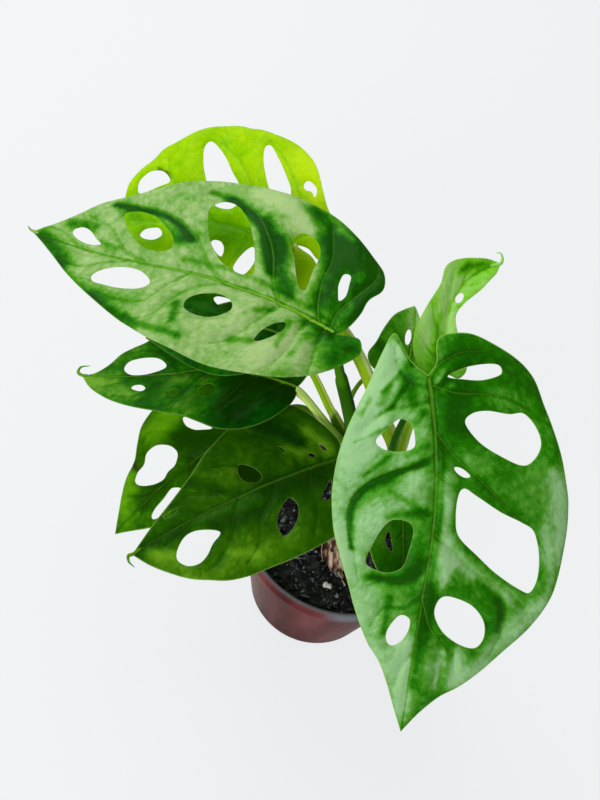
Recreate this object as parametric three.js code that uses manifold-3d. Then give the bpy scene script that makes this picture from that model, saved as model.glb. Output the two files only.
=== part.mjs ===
// Young Monstera adansonii (Swiss cheese vine) in a round nursery pot.
//
// Millimetres, +Z up. The origin is the middle of the pot's flat bottom, which stands on z = 0.
// Two short shoots stand in the soil. Each leaf is a petiole that grows from a shoot and a thin
// blade, cut from a flat outline with its holes and then bent, folded and waved into place.

import * as THREE from "three";
import { mergeVertices } from "three/addons/utils/BufferGeometryUtils.js";
import Module from "manifold-3d";

const wasm = await Module();
wasm.setup();

const GAP = 0.3; // clearance between neighbouring pieces

// --- the pot and what fills it ---
const POT = { height: 78, rim: 55, shoulder: 52.6, base: 36.8, wall: 1.4, band: 8.5, foot: 1.5, sides: 48 };
const DRAIN = { count: 6, radius: 4, circle: 25 };
const SOIL = { top: 72, rings: 9, spokes: 36, lump: 1.1 };
const PERLITE = [
  { at: [3, -36], size: 2.3 },
  { at: [-22, 22], size: 2.1 },
  { at: [30, -20], size: 2.5 },
];
const PERLITE_SEAT = 0.45; // how much of a bit's size sits above the soil

// --- the two shoots: points from below the soil up, and the radius at each end ---
const SHOOTS = [
  { name: "left", path: [[8, -15, 46], [7, -13, 72], [0, -6, 102], [-8, -1, 130], [-14, 4, 150]], radius: [4.8, 3.6] },
  { name: "right", path: [[19, 6, 46], [18, 7, 72], [15, 8, 100], [11, 8.5, 134]], radius: [4.6, 3.8] },
];

// --- blades ---
const BLADE = 0.8; // thickness
const MIDRIB_STEPS = 60; // how finely the bent midrib is worked out
const REACH = 50; // half width over which `cup` and `wave` are stated
const EDGE = 6.5; // spacing of points round an outline
const HOLE_EDGE = 5; // spacing round a hole
const MIDRIB_EDGE = 8; // spacing along the crease of the midrib
const INSIDE = 12; // spacing of points inside a blade

// Each leaf, by where it stands on the plant.
//   foot      where petiole and blade meet
//   heading   way the midrib leaves the foot, in degrees from +X towards +Y
//   rise      how steeply it leaves, roll  how far the left half is lifted
//   sag, swing   bend along the first and second half of the midrib: down, and to the left
//   fold, cup, wave     left and right half: angle at the midrib, further bend out to REACH,
//                       and [height, count, phase] of the waves at REACH
//   left, right         outline of each half from the foot round its lobe to the tip: [along, out]
//   holes     [along, across, length, width, turn, egg, bend], across counted to the left
//   from      where the petiole leaves its shoot, stalk  its points from there to the foot
//   radius    of the petiole at each end
const LEAVES = [
  {
    name: "large_left", foot: [-42, 11, 216], length: 187, heading: 160.5, rise: -0.5, roll: -10,
    sag: [23, -1], swing: [14, -14], fold: [6, 9], cup: [-10, -8], wave: [1.5, 3, 40],
    left: [[-2, 0], [-8, -3], [-13, -4], [-17, 2], [-14, 13], [-8, 24], [2, 35], [12, 41], [26, 46],
      [44, 49], [62, 49], [78, 47], [97, 40.5], [118, 31], [140, 21], [160, 11], [176, 4], [187, 0]],
    right: [[-2, 0], [-6, 10], [-7, 20], [-6, 32], [0, 42], [10, 47], [20, 52], [31, 56.5], [44, 57],
      [60, 57.5], [80, 60], [93, 60], [108, 55], [124, 48], [142, 40], [154, 33], [161, 26], [171, 14],
      [187, 0]],
    holes: [[151, -7.5, 24, 7, -12, 0.2, 0], [117, -19, 44, 15, -22, 0, 0], [69, -25, 54, 21, -47, 0, -2],
      [33, -25, 33, 11, -61, 0.4, 0], [9, -22.5, 16, 4, -72, 0, 0], [114, 13, 33, 14, 5, 0, 2],
      [59.5, 18.5, 25, 15, 15, 0, 0], [23.5, 18.5, 18, 6, 66, 0, 0]],
    from: [-13, 3, 146], stalk: [[-16, 7, 157], [-22, 9, 170], [-32, 11, 190], [-37, 11, 203]], radius: [3.3, 1.9],
  },
  {
    name: "large_right", foot: [7, 0, 220], length: 175, heading: -55, rise: -29, roll: 12,
    sag: [19, 2], swing: [-16, 2], fold: [-3, -8], cup: [-7, -7], wave: [1.5, 3, 200],
    left: [[-2, 0], [-7, 5], [-13, 6], [-18, 8], [-19.5, 14], [-18, 24], [-12, 34], [-3, 45], [7, 53],
      [20, 57], [34, 61], [48, 65], [60, 69], [72, 70.5], [86, 68.5], [100, 66], [113, 62], [122, 57],
      [131, 48], [142, 36], [150, 26], [156, 16], [164, 8], [175, 0]],
    right: [[-2, 0], [-9, 6], [-17, 9], [-24, 12], [-16, 19], [-4, 27], [8, 35], [20, 41.5], [33, 46],
      [46, 48], [60, 48.5], [75, 47], [88, 43], [101, 37], [117, 30], [130, 23], [139, 16], [150, 10.5],
      [162, 5.5], [175, 0]],
    holes: [[0.5, 23, 28, 6.5, 89, 0.1, 0], [29, 33, 39, 19, 68, 0.3, 0], [43.5, 12, 9, 3.5, 62, 0, 0],
      [75, 34, 62, 24, 48, 0.1, 0], [116, 20.5, 35, 17, 49, 0, 0], [25, -18, 19, 15, -65, -0.2, 0],
      [80, -19.5, 29, 19, -15, 0.1, 0], [122, -9.5, 17, 9, -18, 0, 0]],
    from: [13, 7, 122], stalk: [[12.5, 6, 144], [11.5, 4.5, 158], [9, 1, 180], [7.5, -1, 205]], radius: [2.7, 1.8],
  },
  {
    name: "top_back", foot: [-76, 71, 202], length: 108, heading: 161.5, rise: -18.5, roll: -25,
    sag: [3, -10], swing: [7, -3], fold: [5, 5], cup: [-6, -8], wave: [2, 2.5, 0],
    left: [[-1, 0], [-6, 1.5], [-14, 4], [-21, 10], [-24, 19], [-20, 28], [-8, 34], [8, 37], [24, 39],
      [44, 43], [62, 40], [82, 31], [98, 16], [108, 0]],
    right: [[-1, 0], [-9, 0], [-17, -4], [-24, -3], [-25, 6], [-18, 16], [-8, 24], [0, 33], [8, 43],
      [16, 50.5], [27, 57], [40, 58.5], [52, 60.5], [64, 64], [74, 60], [85, 52], [95, 43], [101, 37],
      [104, 28], [108, 20], [110, 10], [108, 0]],
    holes: [[97, -15, 20, 12, 36, 0.1, 0], [59, -28, 51, 16, -50, 0, 0], [28, -36.5, 36, 12, -50, 0, 0],
      [7, -32, 11, 6, -38, 0, 0], [82, 15, 12, 8, 12, 0, 0], [40, 15, 13, 5, -38, 0, 0],
      [20, 17.5, 17, 10, -80, -0.2, 0]],
    from: [11, 9, 128], stalk: [[9.5, 12, 146], [-0.5, 17, 157], [-14, 23, 174], [-24, 28, 184], [-35, 35, 190],
      [-51, 43, 194], [-66, 57, 196]], radius: [3.9, 2.8],
  },
  {
    name: "middle_left", foot: [-50, 10, 169], length: 114, heading: 179.5, rise: 4.5, roll: 5,
    sag: [34, -10], swing: [10, -7], fold: [-4, 8], cup: [-8, -6], wave: [2, 2.5, 90],
    left: [[-1, 0], [-2, 6], [0, 14], [6, 24], [14, 31], [25, 35], [36, 36], [46, 33], [58, 27.5], [70, 23],
      [82, 20], [92, 16.5], [100, 12.5], [108, 7], [114, 0]],
    right: [[-1, 0], [-3, 6], [-4, 14], [-2, 24], [5, 35], [18, 43], [33, 46.5], [48, 46], [60, 42],
      [72, 33], [82, 23.5], [90, 19.5], [96, 15.5], [101, 8], [107, 2.5], [114, 0]],
    holes: [[80.5, -6, 23, 11, 3, 0, 0], [81, 8, 8, 4, -15, 0, 0], [62, 13, 5.5, 5, 0, 0, 0],
      [44, 13.5, 10, 8, 25, 0, 0]],
    from: [-10, 0, 138], stalk: [[-15, 3, 146], [-22, 4, 150], [-33, 5, 159], [-43, 8, 165]], radius: [2.6, 1.8],
  },
  {
    name: "low_front", foot: [-18, -16, 159], length: 111, heading: -140.5, rise: 0, roll: -10,
    sag: [12, 5], swing: [7, 8], fold: [5, 4], cup: [-8, -8], wave: [2, 2.5, 150],
    left: [[-1, 0], [-6, 6], [-6, 14], [-2, 22], [6, 30], [16, 36], [28, 38.5], [42, 39.5], [56, 38.5],
      [68, 37.5], [78, 35], [86, 30.5], [94, 25], [101, 17.5], [107, 9], [111, 0]],
    right: [[-1, 0], [-4, 6], [-3, 12], [1, 20], [7, 29], [13, 34], [22, 36], [32, 36], [42, 33.5],
      [51, 29.5], [60, 25], [70, 18.5], [82, 12.5], [96, 6.5], [104, 3], [111, 0]],
    holes: [[82.5, 13.5, 25, 15, 6, 0.2, 0], [44.5, -8, 13, 8, -50, 0, 0], [36.5, 19.5, 20, 11, 48, 0, 0],
      [12, 14, 13, 4.5, 50, 0, 0], [86, -7, 8, 3, 4, 0, 0], [5, -8, 5, 2, -60, 0, 0],
      [25, -13, 4.5, 2, -60, 0, 0], [12, -5.5, 4, 2, -35, 0, 0]],
    from: [-7, -2, 124], stalk: [[-9, -4, 138], [-11, -8, 151]], radius: [2.4, 1.7],
  },
  {
    name: "low_left", foot: [-51, 10, 149], length: 112, heading: -143, rise: -22, roll: -5,
    sag: [12, 10], swing: [11, 8], fold: [4, 4], cup: [-6, -6], wave: [2, 2.5, 60],
    left: [[-1, 0], [-5, 8], [-2, 20], [10, 31], [30, 36], [52, 34], [72, 26], [86, 18], [95, 12.5],
      [104, 6], [112, 0]],
    right: [[-1, 0], [-5, 8], [-3, 20], [8, 33], [26, 40], [44, 41], [58, 38.5], [67, 34.5], [74, 27.5],
      [80, 21], [88, 17.5], [95, 13], [103, 6.5], [112, 0]],
    holes: [[73, -11, 26, 16, -5, -0.1, 0], [79.5, 8.5, 22, 7, 8, 0, 0], [43.5, -16, 17, 6, -56, 0, 0]],
    from: [-9, 1, 130], stalk: [[-15, 6, 140], [-21, 9, 144], [-30, 12, 147], [-43, 13, 150]], radius: [2.5, 1.6],
  },
  {
    name: "small_right", foot: [17, 20, 207], length: 70, heading: 124, rise: 19, roll: 0,
    sag: [-3, -25], swing: [-33, -54], fold: [16, 16], cup: [4, 4], wave: [1, 2, 0],
    left: [[-1, 0], [-4, 6], [-3, 12], [2, 17.5], [9, 20], [17, 18], [26, 14], [34, 11], [41, 10], [47, 13],
      [52, 12], [60, 7], [65, 4], [70, 0]],
    right: [[-1, 0], [-4, 4], [0, 9], [10, 9], [20, 6.5], [30, 4], [38, 5.5], [46, 7.5], [54, 8], [61, 6.5],
      [67, 4], [70, 0]],
    holes: [[41, -2.4, 6.5, 3.6, 0, 0, 0]],
    from: [12, 9, 126], stalk: [[8.5, 8.5, 147], [7, 11, 160], [8.5, 15, 183], [13.5, 17.5, 199]], radius: [2.7, 1.3],
  },
  {
    name: "small_back", foot: [0, 37, 175], length: 37, heading: 89, rise: 26, roll: -10,
    sag: [-3, -4], swing: [10, 13], fold: [6, 24], cup: [-4, -4], wave: [1, 1.5, 90],
    left: [[-1, 0], [-4, 7], [-3, 14], [0, 19], [6, 21], [14, 18.5], [24, 15.5], [32, 11], [35.5, 5],
      [37, 0]],
    right: [[-1, 0], [-3, 5], [0, 10], [6, 12], [14, 9], [25, 4.5], [32, 2], [37, 0]],
    holes: [[20, 2.6, 8.5, 3.2, 0, 0, 0]],
    from: [-13, 4, 142], stalk: [[-17, 14, 150], [-21, 24, 157], [-18, 35, 163], [-10, 40, 168]], radius: [1.4, 1.0],
  },
  {
    name: "small_low", foot: [21, -10, 141], length: 58, heading: -73.5, rise: -22, roll: 0,
    sag: [-2, -2], swing: [3, 2], fold: [-4, -4], cup: [-6, -6], wave: [1, 2, 0],
    left: [[-1, 0], [-4, 6], [0, 13], [14, 18], [29, 17], [43, 11], [52, 4], [58, 0]],
    right: [[-1, 0], [-4, 6], [0, 13], [14, 18], [29, 17], [43, 11], [52, 4], [58, 0]],
    holes: [[24, -7, 10, 3, 10, 0, 1]],
    from: [15, 6, 98], stalk: [[16, -1, 118], [18, -5, 133]], radius: [1.7, 1.0],
  },
  {
    name: "hidden_middle", foot: [-62, 30, 180], length: 80, heading: 177.5, rise: 0.5, roll: -10,
    sag: [24, 18], swing: [13, 10], fold: [4, 4], cup: [-6, -6], wave: [1.5, 2, 0],
    left: [[-1, 0], [-4, 6], [-2, 16], [10, 27], [28, 32], [46, 28], [62, 17], [74, 6], [80, 0]],
    right: [[-1, 0], [-4, 6], [-2, 16], [10, 27], [28, 32], [46, 28], [62, 17], [74, 6], [80, 0]],
    holes: [[34, -13, 18, 6, -30, 0, 0]],
    from: [-12, 2, 142], stalk: [[-19, 7, 150], [-29, 12, 158], [-44, 20, 171], [-54, 25, 177]], radius: [2.4, 1.6],
  },
];

// The dry sheath is a curled papery strip that leans on the left shoot's foot.
const SHEATH = {
  foot: [-2.5, -11.5, 84.5], length: 24, heading: -63, rise: -24, roll: 0,
  sag: [14, -8], swing: [0, 0], fold: [20, 20], cup: [25, 25], wave: [3, 3, 0],
  left: [[0, 0], [2, 4], [9, 5.5], [17, 5], [22, 3], [24, 0]],
  right: [[0, 0], [3, 3.5], [10, 4.5], [18, 4], [22, 2.5], [24, 0]],
  holes: [],
};

const PETIOLE_SEAT = [2.5, 0, -0.5]; // where a petiole ends: along the midrib from the foot, and under it
const STALK_SIDES = 8;
const STALK_STEP = 11; // length of one segment of a petiole or shoot

const finish = {
  pot: new THREE.MeshStandardMaterial({ color: 0x8e5553, roughness: 0.3 }),
  soil: new THREE.MeshStandardMaterial({ color: 0x17120f, roughness: 0.95 }),
  perlite: new THREE.MeshStandardMaterial({ color: 0xe8dfd2, roughness: 0.9 }),
  sheath: new THREE.MeshStandardMaterial({ color: 0xa98560, roughness: 0.9 }),
  stalk: new THREE.MeshStandardMaterial({ color: 0x8db52a, roughness: 0.45 }),
  blade: new THREE.MeshStandardMaterial({ color: 0x3f8f22, roughness: 0.35 }),
  young: new THREE.MeshStandardMaterial({ color: 0x9bd11a, roughness: 0.35 }),
};

const radians = THREE.MathUtils.degToRad;
const vector = (a) => new THREE.Vector3(...a);

// --- solids and booleans ---

function closedGeometry(positions, triangles) {
  const geometry = new THREE.BufferGeometry();
  geometry.setAttribute("position", new THREE.Float32BufferAttribute(positions, 3));
  geometry.setIndex(triangles);
  return geometry;
}

function toSolid(geometry) {
  const bare = geometry.clone();
  bare.deleteAttribute("normal");
  bare.deleteAttribute("uv");
  const merged = mergeVertices(bare, 1e-4);
  const triVerts = new Uint32Array(merged.index.array);
  return new wasm.Manifold(new wasm.Mesh({
    numProp: 3, vertProperties: merged.attributes.position.array, triVerts,
  }));
}

function fromSolid(solid) {
  const mesh = solid.getMesh();
  return closedGeometry(Array.from(mesh.vertProperties), Array.from(mesh.triVerts));
}

// --- the pot ---

function potInside(z) {
  const slope = (POT.shoulder - POT.base) / (POT.height - POT.band);
  return POT.base - POT.wall + slope * z;
}

function potGeometry() {
  const { height, rim, shoulder, base, wall, band, foot, sides } = POT;
  const under = height - band;
  const lip = 0.8;
  const profile = [
    [0, 0], [base - foot, 0], [base, foot], [shoulder, under], [rim - lip, under + lip / 2], [rim, under + 2 * lip],
    [rim, height - lip], [rim - lip, height], [potInside(height) + lip, height], [potInside(height), height - lip],
    [potInside(wall) + 0.01, wall], [0, wall],
  ].map(([r, z]) => new THREE.Vector2(r, z));
  const shell = new THREE.LatheGeometry(profile, sides).rotateX(Math.PI / 2);
  let solid = toSolid(shell);
  for (let i = 0; i < DRAIN.count; i++) {
    const angle = (i / DRAIN.count) * 2 * Math.PI;
    const bore = new THREE.CylinderGeometry(DRAIN.radius, DRAIN.radius, 4 * wall, 12).rotateX(Math.PI / 2);
    bore.translate(DRAIN.circle * Math.cos(angle), DRAIN.circle * Math.sin(angle), wall / 2);
    solid = solid.subtract(toSolid(bore));
  }
  return fromSolid(solid);
}

// --- the soil, with a plain hole for each shoot and a seat for each bit of perlite ---

function soilHeight(x, y) {
  const edge = Math.max(0, 1 - Math.hypot(x, y) / potInside(SOIL.top));
  const lumps = Math.sin(0.42 * x + 1) * Math.cos(0.37 * y) + 0.6 * Math.sin(0.71 * y - 0.5 * x);
  return SOIL.top + SOIL.lump * lumps * Math.min(1, 3 * edge);
}

function soilGeometry() {
  const { rings, spokes, top } = SOIL;
  const floor = POT.wall + GAP;
  const outer = potInside(top) - GAP;
  const positions = [0, 0, soilHeight(0, 0), 0, 0, floor];
  const triangles = [];
  const at = (ring, spoke) => 2 + ring * spokes + (spoke % spokes);
  for (let ring = 0; ring <= rings; ring++) {
    const onFloor = ring === rings;
    const r = onFloor ? potInside(floor) - GAP : (outer * (ring + 1)) / rings;
    for (let spoke = 0; spoke < spokes; spoke++) {
      const angle = ((spoke + 0.5 * (ring % 2)) / spokes) * 2 * Math.PI;
      const x = r * Math.cos(angle);
      const y = r * Math.sin(angle);
      positions.push(x, y, onFloor ? floor : soilHeight(x, y));
    }
  }
  for (let spoke = 0; spoke < spokes; spoke++) {
    triangles.push(0, at(0, spoke), at(0, spoke + 1));
    triangles.push(1, at(rings, spoke + 1), at(rings, spoke));
    for (let ring = 0; ring < rings; ring++) {
      const [a, b] = [at(ring, spoke), at(ring, spoke + 1)];
      const [c, d] = [at(ring + 1, spoke), at(ring + 1, spoke + 1)];
      if (ring % 2) triangles.push(a, c, b, b, c, d);
      else triangles.push(a, c, d, a, d, b);
    }
  }
  return closedGeometry(positions, triangles);
}

function perliteGeometry({ at: [x, y], size }, grow = 0) {
  const bit = new THREE.IcosahedronGeometry(size + grow, 0).scale(1.15, 0.95, 0.8).rotateZ(x);
  return bit.translate(x, y, soilHeight(x, y) + PERLITE_SEAT * size);
}

// --- shoots and petioles: tapered tubes with flat ends, `grow` larger all round ---

function tubeGeometry(points, [startRadius, endRadius], grow = 0) {
  const curve = new THREE.CatmullRomCurve3(points.map(vector), false, "centripetal");
  const steps = Math.max(3, Math.round(curve.getLength() / STALK_STEP));
  const frames = curve.computeFrenetFrames(steps);
  const positions = [];
  const triangles = [];
  for (let i = 0; i <= steps; i++) {
    const end = i === 0 ? -1 : Number(i === steps);
    const centre = curve.getPointAt(i / steps).addScaledVector(frames.tangents[i], end * grow);
    const radius = THREE.MathUtils.lerp(startRadius, endRadius, i / steps) + grow;
    for (let k = 0; k < STALK_SIDES; k++) {
      const angle = (k / STALK_SIDES) * 2 * Math.PI;
      const p = centre.clone()
        .addScaledVector(frames.normals[i], radius * Math.cos(angle))
        .addScaledVector(frames.binormals[i], radius * Math.sin(angle));
      positions.push(p.x, p.y, p.z);
    }
  }
  const at = (i, k) => i * STALK_SIDES + (k % STALK_SIDES);
  for (let i = 0; i < steps; i++) {
    for (let k = 0; k < STALK_SIDES; k++) {
      triangles.push(at(i, k), at(i, k + 1), at(i + 1, k), at(i + 1, k), at(i, k + 1), at(i + 1, k + 1));
    }
  }
  for (let k = 1; k < STALK_SIDES - 1; k++) {
    triangles.push(at(0, 0), at(0, k + 1), at(0, k), at(steps, 0), at(steps, k), at(steps, k + 1));
  }
  return closedGeometry(positions, triangles);
}

// --- blades ---

// The bent midrib as a list of frames: [along, left, up] axes and the point itself.
function midribFrames({ foot, heading, rise, roll, length, sag, swing }) {
  const [h, e] = [radians(heading), radians(rise)];
  const along = new THREE.Vector3(Math.cos(e) * Math.cos(h), Math.cos(e) * Math.sin(h), Math.sin(e));
  const left = new THREE.Vector3(-Math.sin(h), Math.cos(h), 0);
  const up = new THREE.Vector3().crossVectors(along, left);
  const turn = new THREE.Quaternion().setFromRotationMatrix(new THREE.Matrix4().makeBasis(along, left, up));
  turn.premultiply(new THREE.Quaternion().setFromAxisAngle(along, radians(roll)));
  const point = vector(foot);
  const frames = [{ point: point.clone(), turn: turn.clone() }];
  const stepLength = length / MIDRIB_STEPS;
  for (let i = 0; i < MIDRIB_STEPS; i++) {
    const half = i < MIDRIB_STEPS / 2 ? 0 : 1;
    const bend = new THREE.Vector3(0, sag[half], swing[half]).multiplyScalar(radians(2 / MIDRIB_STEPS));
    const axis = bend.clone().normalize();
    const halfStep = new THREE.Quaternion().setFromAxisAngle(axis, bend.length() / 2);
    turn.multiply(halfStep);
    point.addScaledVector(new THREE.Vector3(1, 0, 0).applyQuaternion(turn), stepLength);
    turn.multiply(halfStep);
    frames.push({ point: point.clone(), turn: turn.clone() });
  }
  return frames;
}

// Flat leaf coordinates (along the midrib, across to the left) to a point in space.
function bladeSurface(leaf) {
  const frames = midribFrames(leaf);
  const [height, count, phase] = leaf.wave;
  return (along, across) => {
    const place = THREE.MathUtils.clamp((along / leaf.length) * MIDRIB_STEPS, 0, MIDRIB_STEPS);
    const index = Math.min(Math.floor(place), MIDRIB_STEPS - 1);
    const [a, b] = [frames[index], frames[index + 1]];
    const turn = a.turn.clone().slerp(b.turn, place - index);
    const centre = a.point.clone().lerp(b.point, place - index);
    const past = along - (place / MIDRIB_STEPS) * leaf.length;
    const side = across >= 0 ? 0 : 1;
    const out = Math.abs(across);
    const fold = radians(leaf.fold[side]);
    const curl = radians(leaf.cup[side]) / REACH;
    const reach = (Math.sin(fold + curl * out) - Math.sin(fold)) / curl;
    const ripple = Math.sin(2 * Math.PI * count * (along / leaf.length) + radians(phase) + side * Math.PI / 2);
    const lift = (Math.cos(fold) - Math.cos(fold + curl * out)) / curl + height * (out / REACH) ** 2 * ripple;
    return new THREE.Vector3(past, side ? -reach : reach, lift).applyQuaternion(turn).add(centre);
  };
}

function surfaceNormal(surface, along, across) {
  const step = 0.5;
  const lengthwise = surface(along + step, across).sub(surface(along - step, across));
  const crosswise = surface(along, across + step).sub(surface(along, across - step));
  return lengthwise.cross(crosswise).normalize();
}

// The rim of the flat blade, clockwise from the foot, pushed out by `grow`.
function outlinePoints({ left, right }, grow) {
  const half = (points, side) => {
    const curve = new THREE.SplineCurve(points.map(([along, out]) => new THREE.Vector2(along, side * out)));
    return curve.getSpacedPoints(Math.round(curve.getLength() / EDGE));
  };
  const up = half(left, 1);
  const down = half(right, -1).reverse();
  const loop = [...up, ...down.slice(1, -1)];
  return loop.map((p, i) => {
    const way = loop[(i + 1) % loop.length].clone().sub(loop.at(i - 1)).normalize();
    return p.clone().add(new THREE.Vector2(-way.y, way.x).multiplyScalar(grow));
  });
}

function holePoints([along, across, length, width, turn, egg, bend]) {
  const around = Math.max(6, Math.round((Math.PI * (length + width)) / 2 / HOLE_EDGE));
  const centre = new THREE.Vector2(along, across);
  return Array.from({ length: around }, (_, i) => {
    const angle = (i / around) * 2 * Math.PI;
    const x = (length / 2) * Math.cos(angle);
    const y = (width / 2) * Math.sin(angle) * (1 + egg * Math.cos(angle)) + bend * (Math.cos(angle) ** 2 - 0.5);
    return new THREE.Vector2(x, y).rotateAround(new THREE.Vector2(), radians(turn)).add(centre);
  });
}

function isInside(p, loop) {
  let inside = false;
  for (let i = 0, j = loop.length - 1; i < loop.length; j = i++) {
    const [a, b] = [loop[i], loop[j]];
    if (a.y > p.y !== b.y > p.y && p.x < ((b.x - a.x) * (p.y - a.y)) / (b.y - a.y) + a.x) inside = !inside;
  }
  return inside;
}

// Delaunay triangles of flat points, by adding one point after another (Bowyer and Watson).
function delaunay(points) {
  const far = 5000;
  const all = [...points, ...[[-far, -far], [far, -far], [0, far]].map((p) => new THREE.Vector2(...p))];
  const circled = (a, b, c) => {
    const [A, B, C] = [all[a], all[b], all[c]];
    const d = 2 * (A.x * (B.y - C.y) + B.x * (C.y - A.y) + C.x * (A.y - B.y));
    const [la, lb, lc] = [A.lengthSq(), B.lengthSq(), C.lengthSq()];
    const centre = new THREE.Vector2(
      (la * (B.y - C.y) + lb * (C.y - A.y) + lc * (A.y - B.y)) / d,
      (la * (C.x - B.x) + lb * (A.x - C.x) + lc * (B.x - A.x)) / d,
    );
    return { corners: [a, b, c], centre, reach: centre.distanceToSquared(A) };
  };
  let triangles = [circled(points.length, points.length + 1, points.length + 2)];
  points.forEach((point, index) => {
    const hit = triangles.filter((t) => t.centre.distanceToSquared(point) < t.reach - 1e-7);
    triangles = triangles.filter((t) => !hit.includes(t));
    const sides = hit.flatMap(({ corners: [a, b, c] }) => [[a, b], [b, c], [c, a]]);
    const once = sides.filter(([a, b]) => !sides.some(([c, d]) => a === d && b === c));
    once.forEach(([a, b]) => triangles.push(circled(a, b, index)));
  });
  return triangles.map((t) => t.corners).filter((t) => t.every((corner) => corner < points.length));
}

// The flat blade: rim and hole points, a loose net of points inside, and their triangles.
function flatBlade(leaf, grow) {
  const outline = outlinePoints(leaf, grow);
  const holes = leaf.holes.map(holePoints);
  const creases = Math.floor(leaf.length / MIDRIB_EDGE) - 1;
  const crease = Array.from({ length: creases }, (_, i) => new THREE.Vector2((i + 0.6) * MIDRIB_EDGE, 0));
  const rim = [...outline, ...holes.flat()];
  const points = [...rim, ...crease.filter((p) => rim.every((q) => q.distanceTo(p) > 2))];
  const row = INSIDE * Math.sqrt(3) / 2;
  const across = Math.max(...outline.map((p) => Math.abs(p.y)));
  for (let j = -Math.ceil(across / row); j * row <= across; j++) {
    for (let i = -3; i * INSIDE <= leaf.length; i++) {
      const wobble = 0.04 * INSIDE * Math.sin(3 * i + 5 * j);
      const p = new THREE.Vector2((i + (j % 2 ? 0.5 : 0)) * INSIDE + wobble, j * row - wobble);
      const clear = points.every((q) => q.distanceTo(p) > 0.55 * INSIDE);
      if (clear && isInside(p, outline) && !holes.some((hole) => isInside(p, hole))) points.push(p);
    }
  }
  const middle = ([a, b, c]) => points[a].clone().add(points[b]).add(points[c]).divideScalar(3);
  const triangles = delaunay(points).filter((t) => {
    const p = middle(t);
    return isInside(p, outline) && !holes.some((hole) => isInside(p, hole));
  });
  return { points, triangles };
}

// Both faces take the same triangles, and a wall closes every free edge.
function bladeGeometry(leaf, grow = 0) {
  const { points, triangles: flat } = flatBlade(leaf, grow);
  const surface = bladeSurface(leaf);
  const positions = [];
  for (const lift of [BLADE / 2 + grow, -BLADE / 2 - grow]) {
    for (const { x, y } of points) {
      const p = surface(x, y).addScaledVector(surfaceNormal(surface, x, y), lift);
      positions.push(p.x, p.y, p.z);
    }
  }
  const n = points.length;
  const edges = new Set(flat.flatMap(([a, b, c]) => [`${a} ${b}`, `${b} ${c}`, `${c} ${a}`]));
  const triangles = flat.flatMap(([a, b, c]) => [a, b, c, a + n, c + n, b + n]);
  for (const edge of edges) {
    const [a, b] = edge.split(" ").map(Number);
    if (!edges.has(`${b} ${a}`)) triangles.push(a, a + n, b, b, a + n, b + n);
  }
  return closedGeometry(positions, triangles);
}

// A petiole runs up to where the midrib starts.
function petiolePath({ foot, from, stalk, ...leaf }) {
  const [{ turn }] = midribFrames({ foot, ...leaf });
  const seat = new THREE.Vector3(...PETIOLE_SEAT).applyQuaternion(turn);
  return [from, ...stalk, vector(foot).add(seat).toArray()];
}

// --- the assembly ---

const plant = new THREE.Group();
plant.name = "monstera_adansonii";

function addPiece(name, geometry, material) {
  const mesh = new THREE.Mesh(geometry, material);
  mesh.name = name;
  plant.add(mesh);
}

function subtractAll(solid, others) {
  return others.reduce((left, other) => left.subtract(other), solid);
}

function largestPiece(solid) {
  return solid.decompose().sort((a, b) => b.volume() - a.volume())[0];
}

addPiece("pot", potGeometry(), finish.pot);

// What stands or lies in the soil, one gap larger all round, leaves a plain hole or seat in it.
const grownShoots = SHOOTS.map(({ path, radius }) => toSolid(tubeGeometry(path, radius, GAP)));
const grownPerlite = PERLITE.map((bit) => toSolid(perliteGeometry(bit, GAP)));
const grownSheath = toSolid(bladeGeometry(SHEATH, GAP));
const soil = subtractAll(toSolid(soilGeometry()), [...grownShoots, ...grownPerlite, grownSheath]);
addPiece("soil", fromSolid(soil), finish.soil);
PERLITE.forEach((bit, i) => addPiece(`perlite_${i + 1}`, perliteGeometry(bit), finish.perlite));
addPiece("dry_sheath", fromSolid(subtractAll(toSolid(bladeGeometry(SHEATH)), grownShoots)), finish.sheath);
for (const { name, path, radius } of SHOOTS) {
  addPiece(`shoot_${name}`, tubeGeometry(path, radius), finish.stalk);
}

// Each petiole is cut back to the shoots and the petioles before it, as sheaths nest, and to the
// underside of its own blade.
const taken = [...grownShoots];
for (const leaf of LEAVES) {
  const path = petiolePath(leaf);
  const grownBlade = toSolid(bladeGeometry(leaf, GAP));
  const petiole = largestPiece(subtractAll(toSolid(tubeGeometry(path, leaf.radius)), [...taken, grownBlade]));
  addPiece(`petiole_${leaf.name}`, fromSolid(petiole), finish.stalk);
  taken.push(toSolid(tubeGeometry(path, leaf.radius, GAP)));
  addPiece(`blade_${leaf.name}`, bladeGeometry(leaf), leaf.name === "top_back" ? finish.young : finish.blade);
}

export default plant;
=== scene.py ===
"""Builds the finished surfaces of a young Monstera adansonii in its nursery pot.

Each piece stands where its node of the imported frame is. Sizes in the tables are in millimetres,
in the frame's axes: +Z up, with the origin in the middle of the pot's bottom.
"""

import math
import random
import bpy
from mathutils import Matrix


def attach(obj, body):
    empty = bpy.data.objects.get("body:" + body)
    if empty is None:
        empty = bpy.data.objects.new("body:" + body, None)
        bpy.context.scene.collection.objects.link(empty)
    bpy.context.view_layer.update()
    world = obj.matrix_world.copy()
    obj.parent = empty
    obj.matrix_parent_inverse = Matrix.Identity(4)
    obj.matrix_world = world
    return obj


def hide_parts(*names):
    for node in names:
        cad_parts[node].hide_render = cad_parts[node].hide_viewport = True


bl_info = {
    "name": "Potted Swiss Cheese Vine",
    "version": (1, 0, 0),
    "blender": (4, 5, 0),
    "location": "View3D > Sidebar > Plant",
    "description": "Leaves, petioles, pot and soil of a young monstera, with its floor, lights and camera",
    "category": "Object",
}

import bmesh
import bpy
import numpy as np
from bpy.props import FloatProperty, FloatVectorProperty, IntProperty, PointerProperty
from mathutils import Matrix, Quaternion, Vector, noise
from mathutils.geometry import delaunay_2d_cdt

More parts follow.
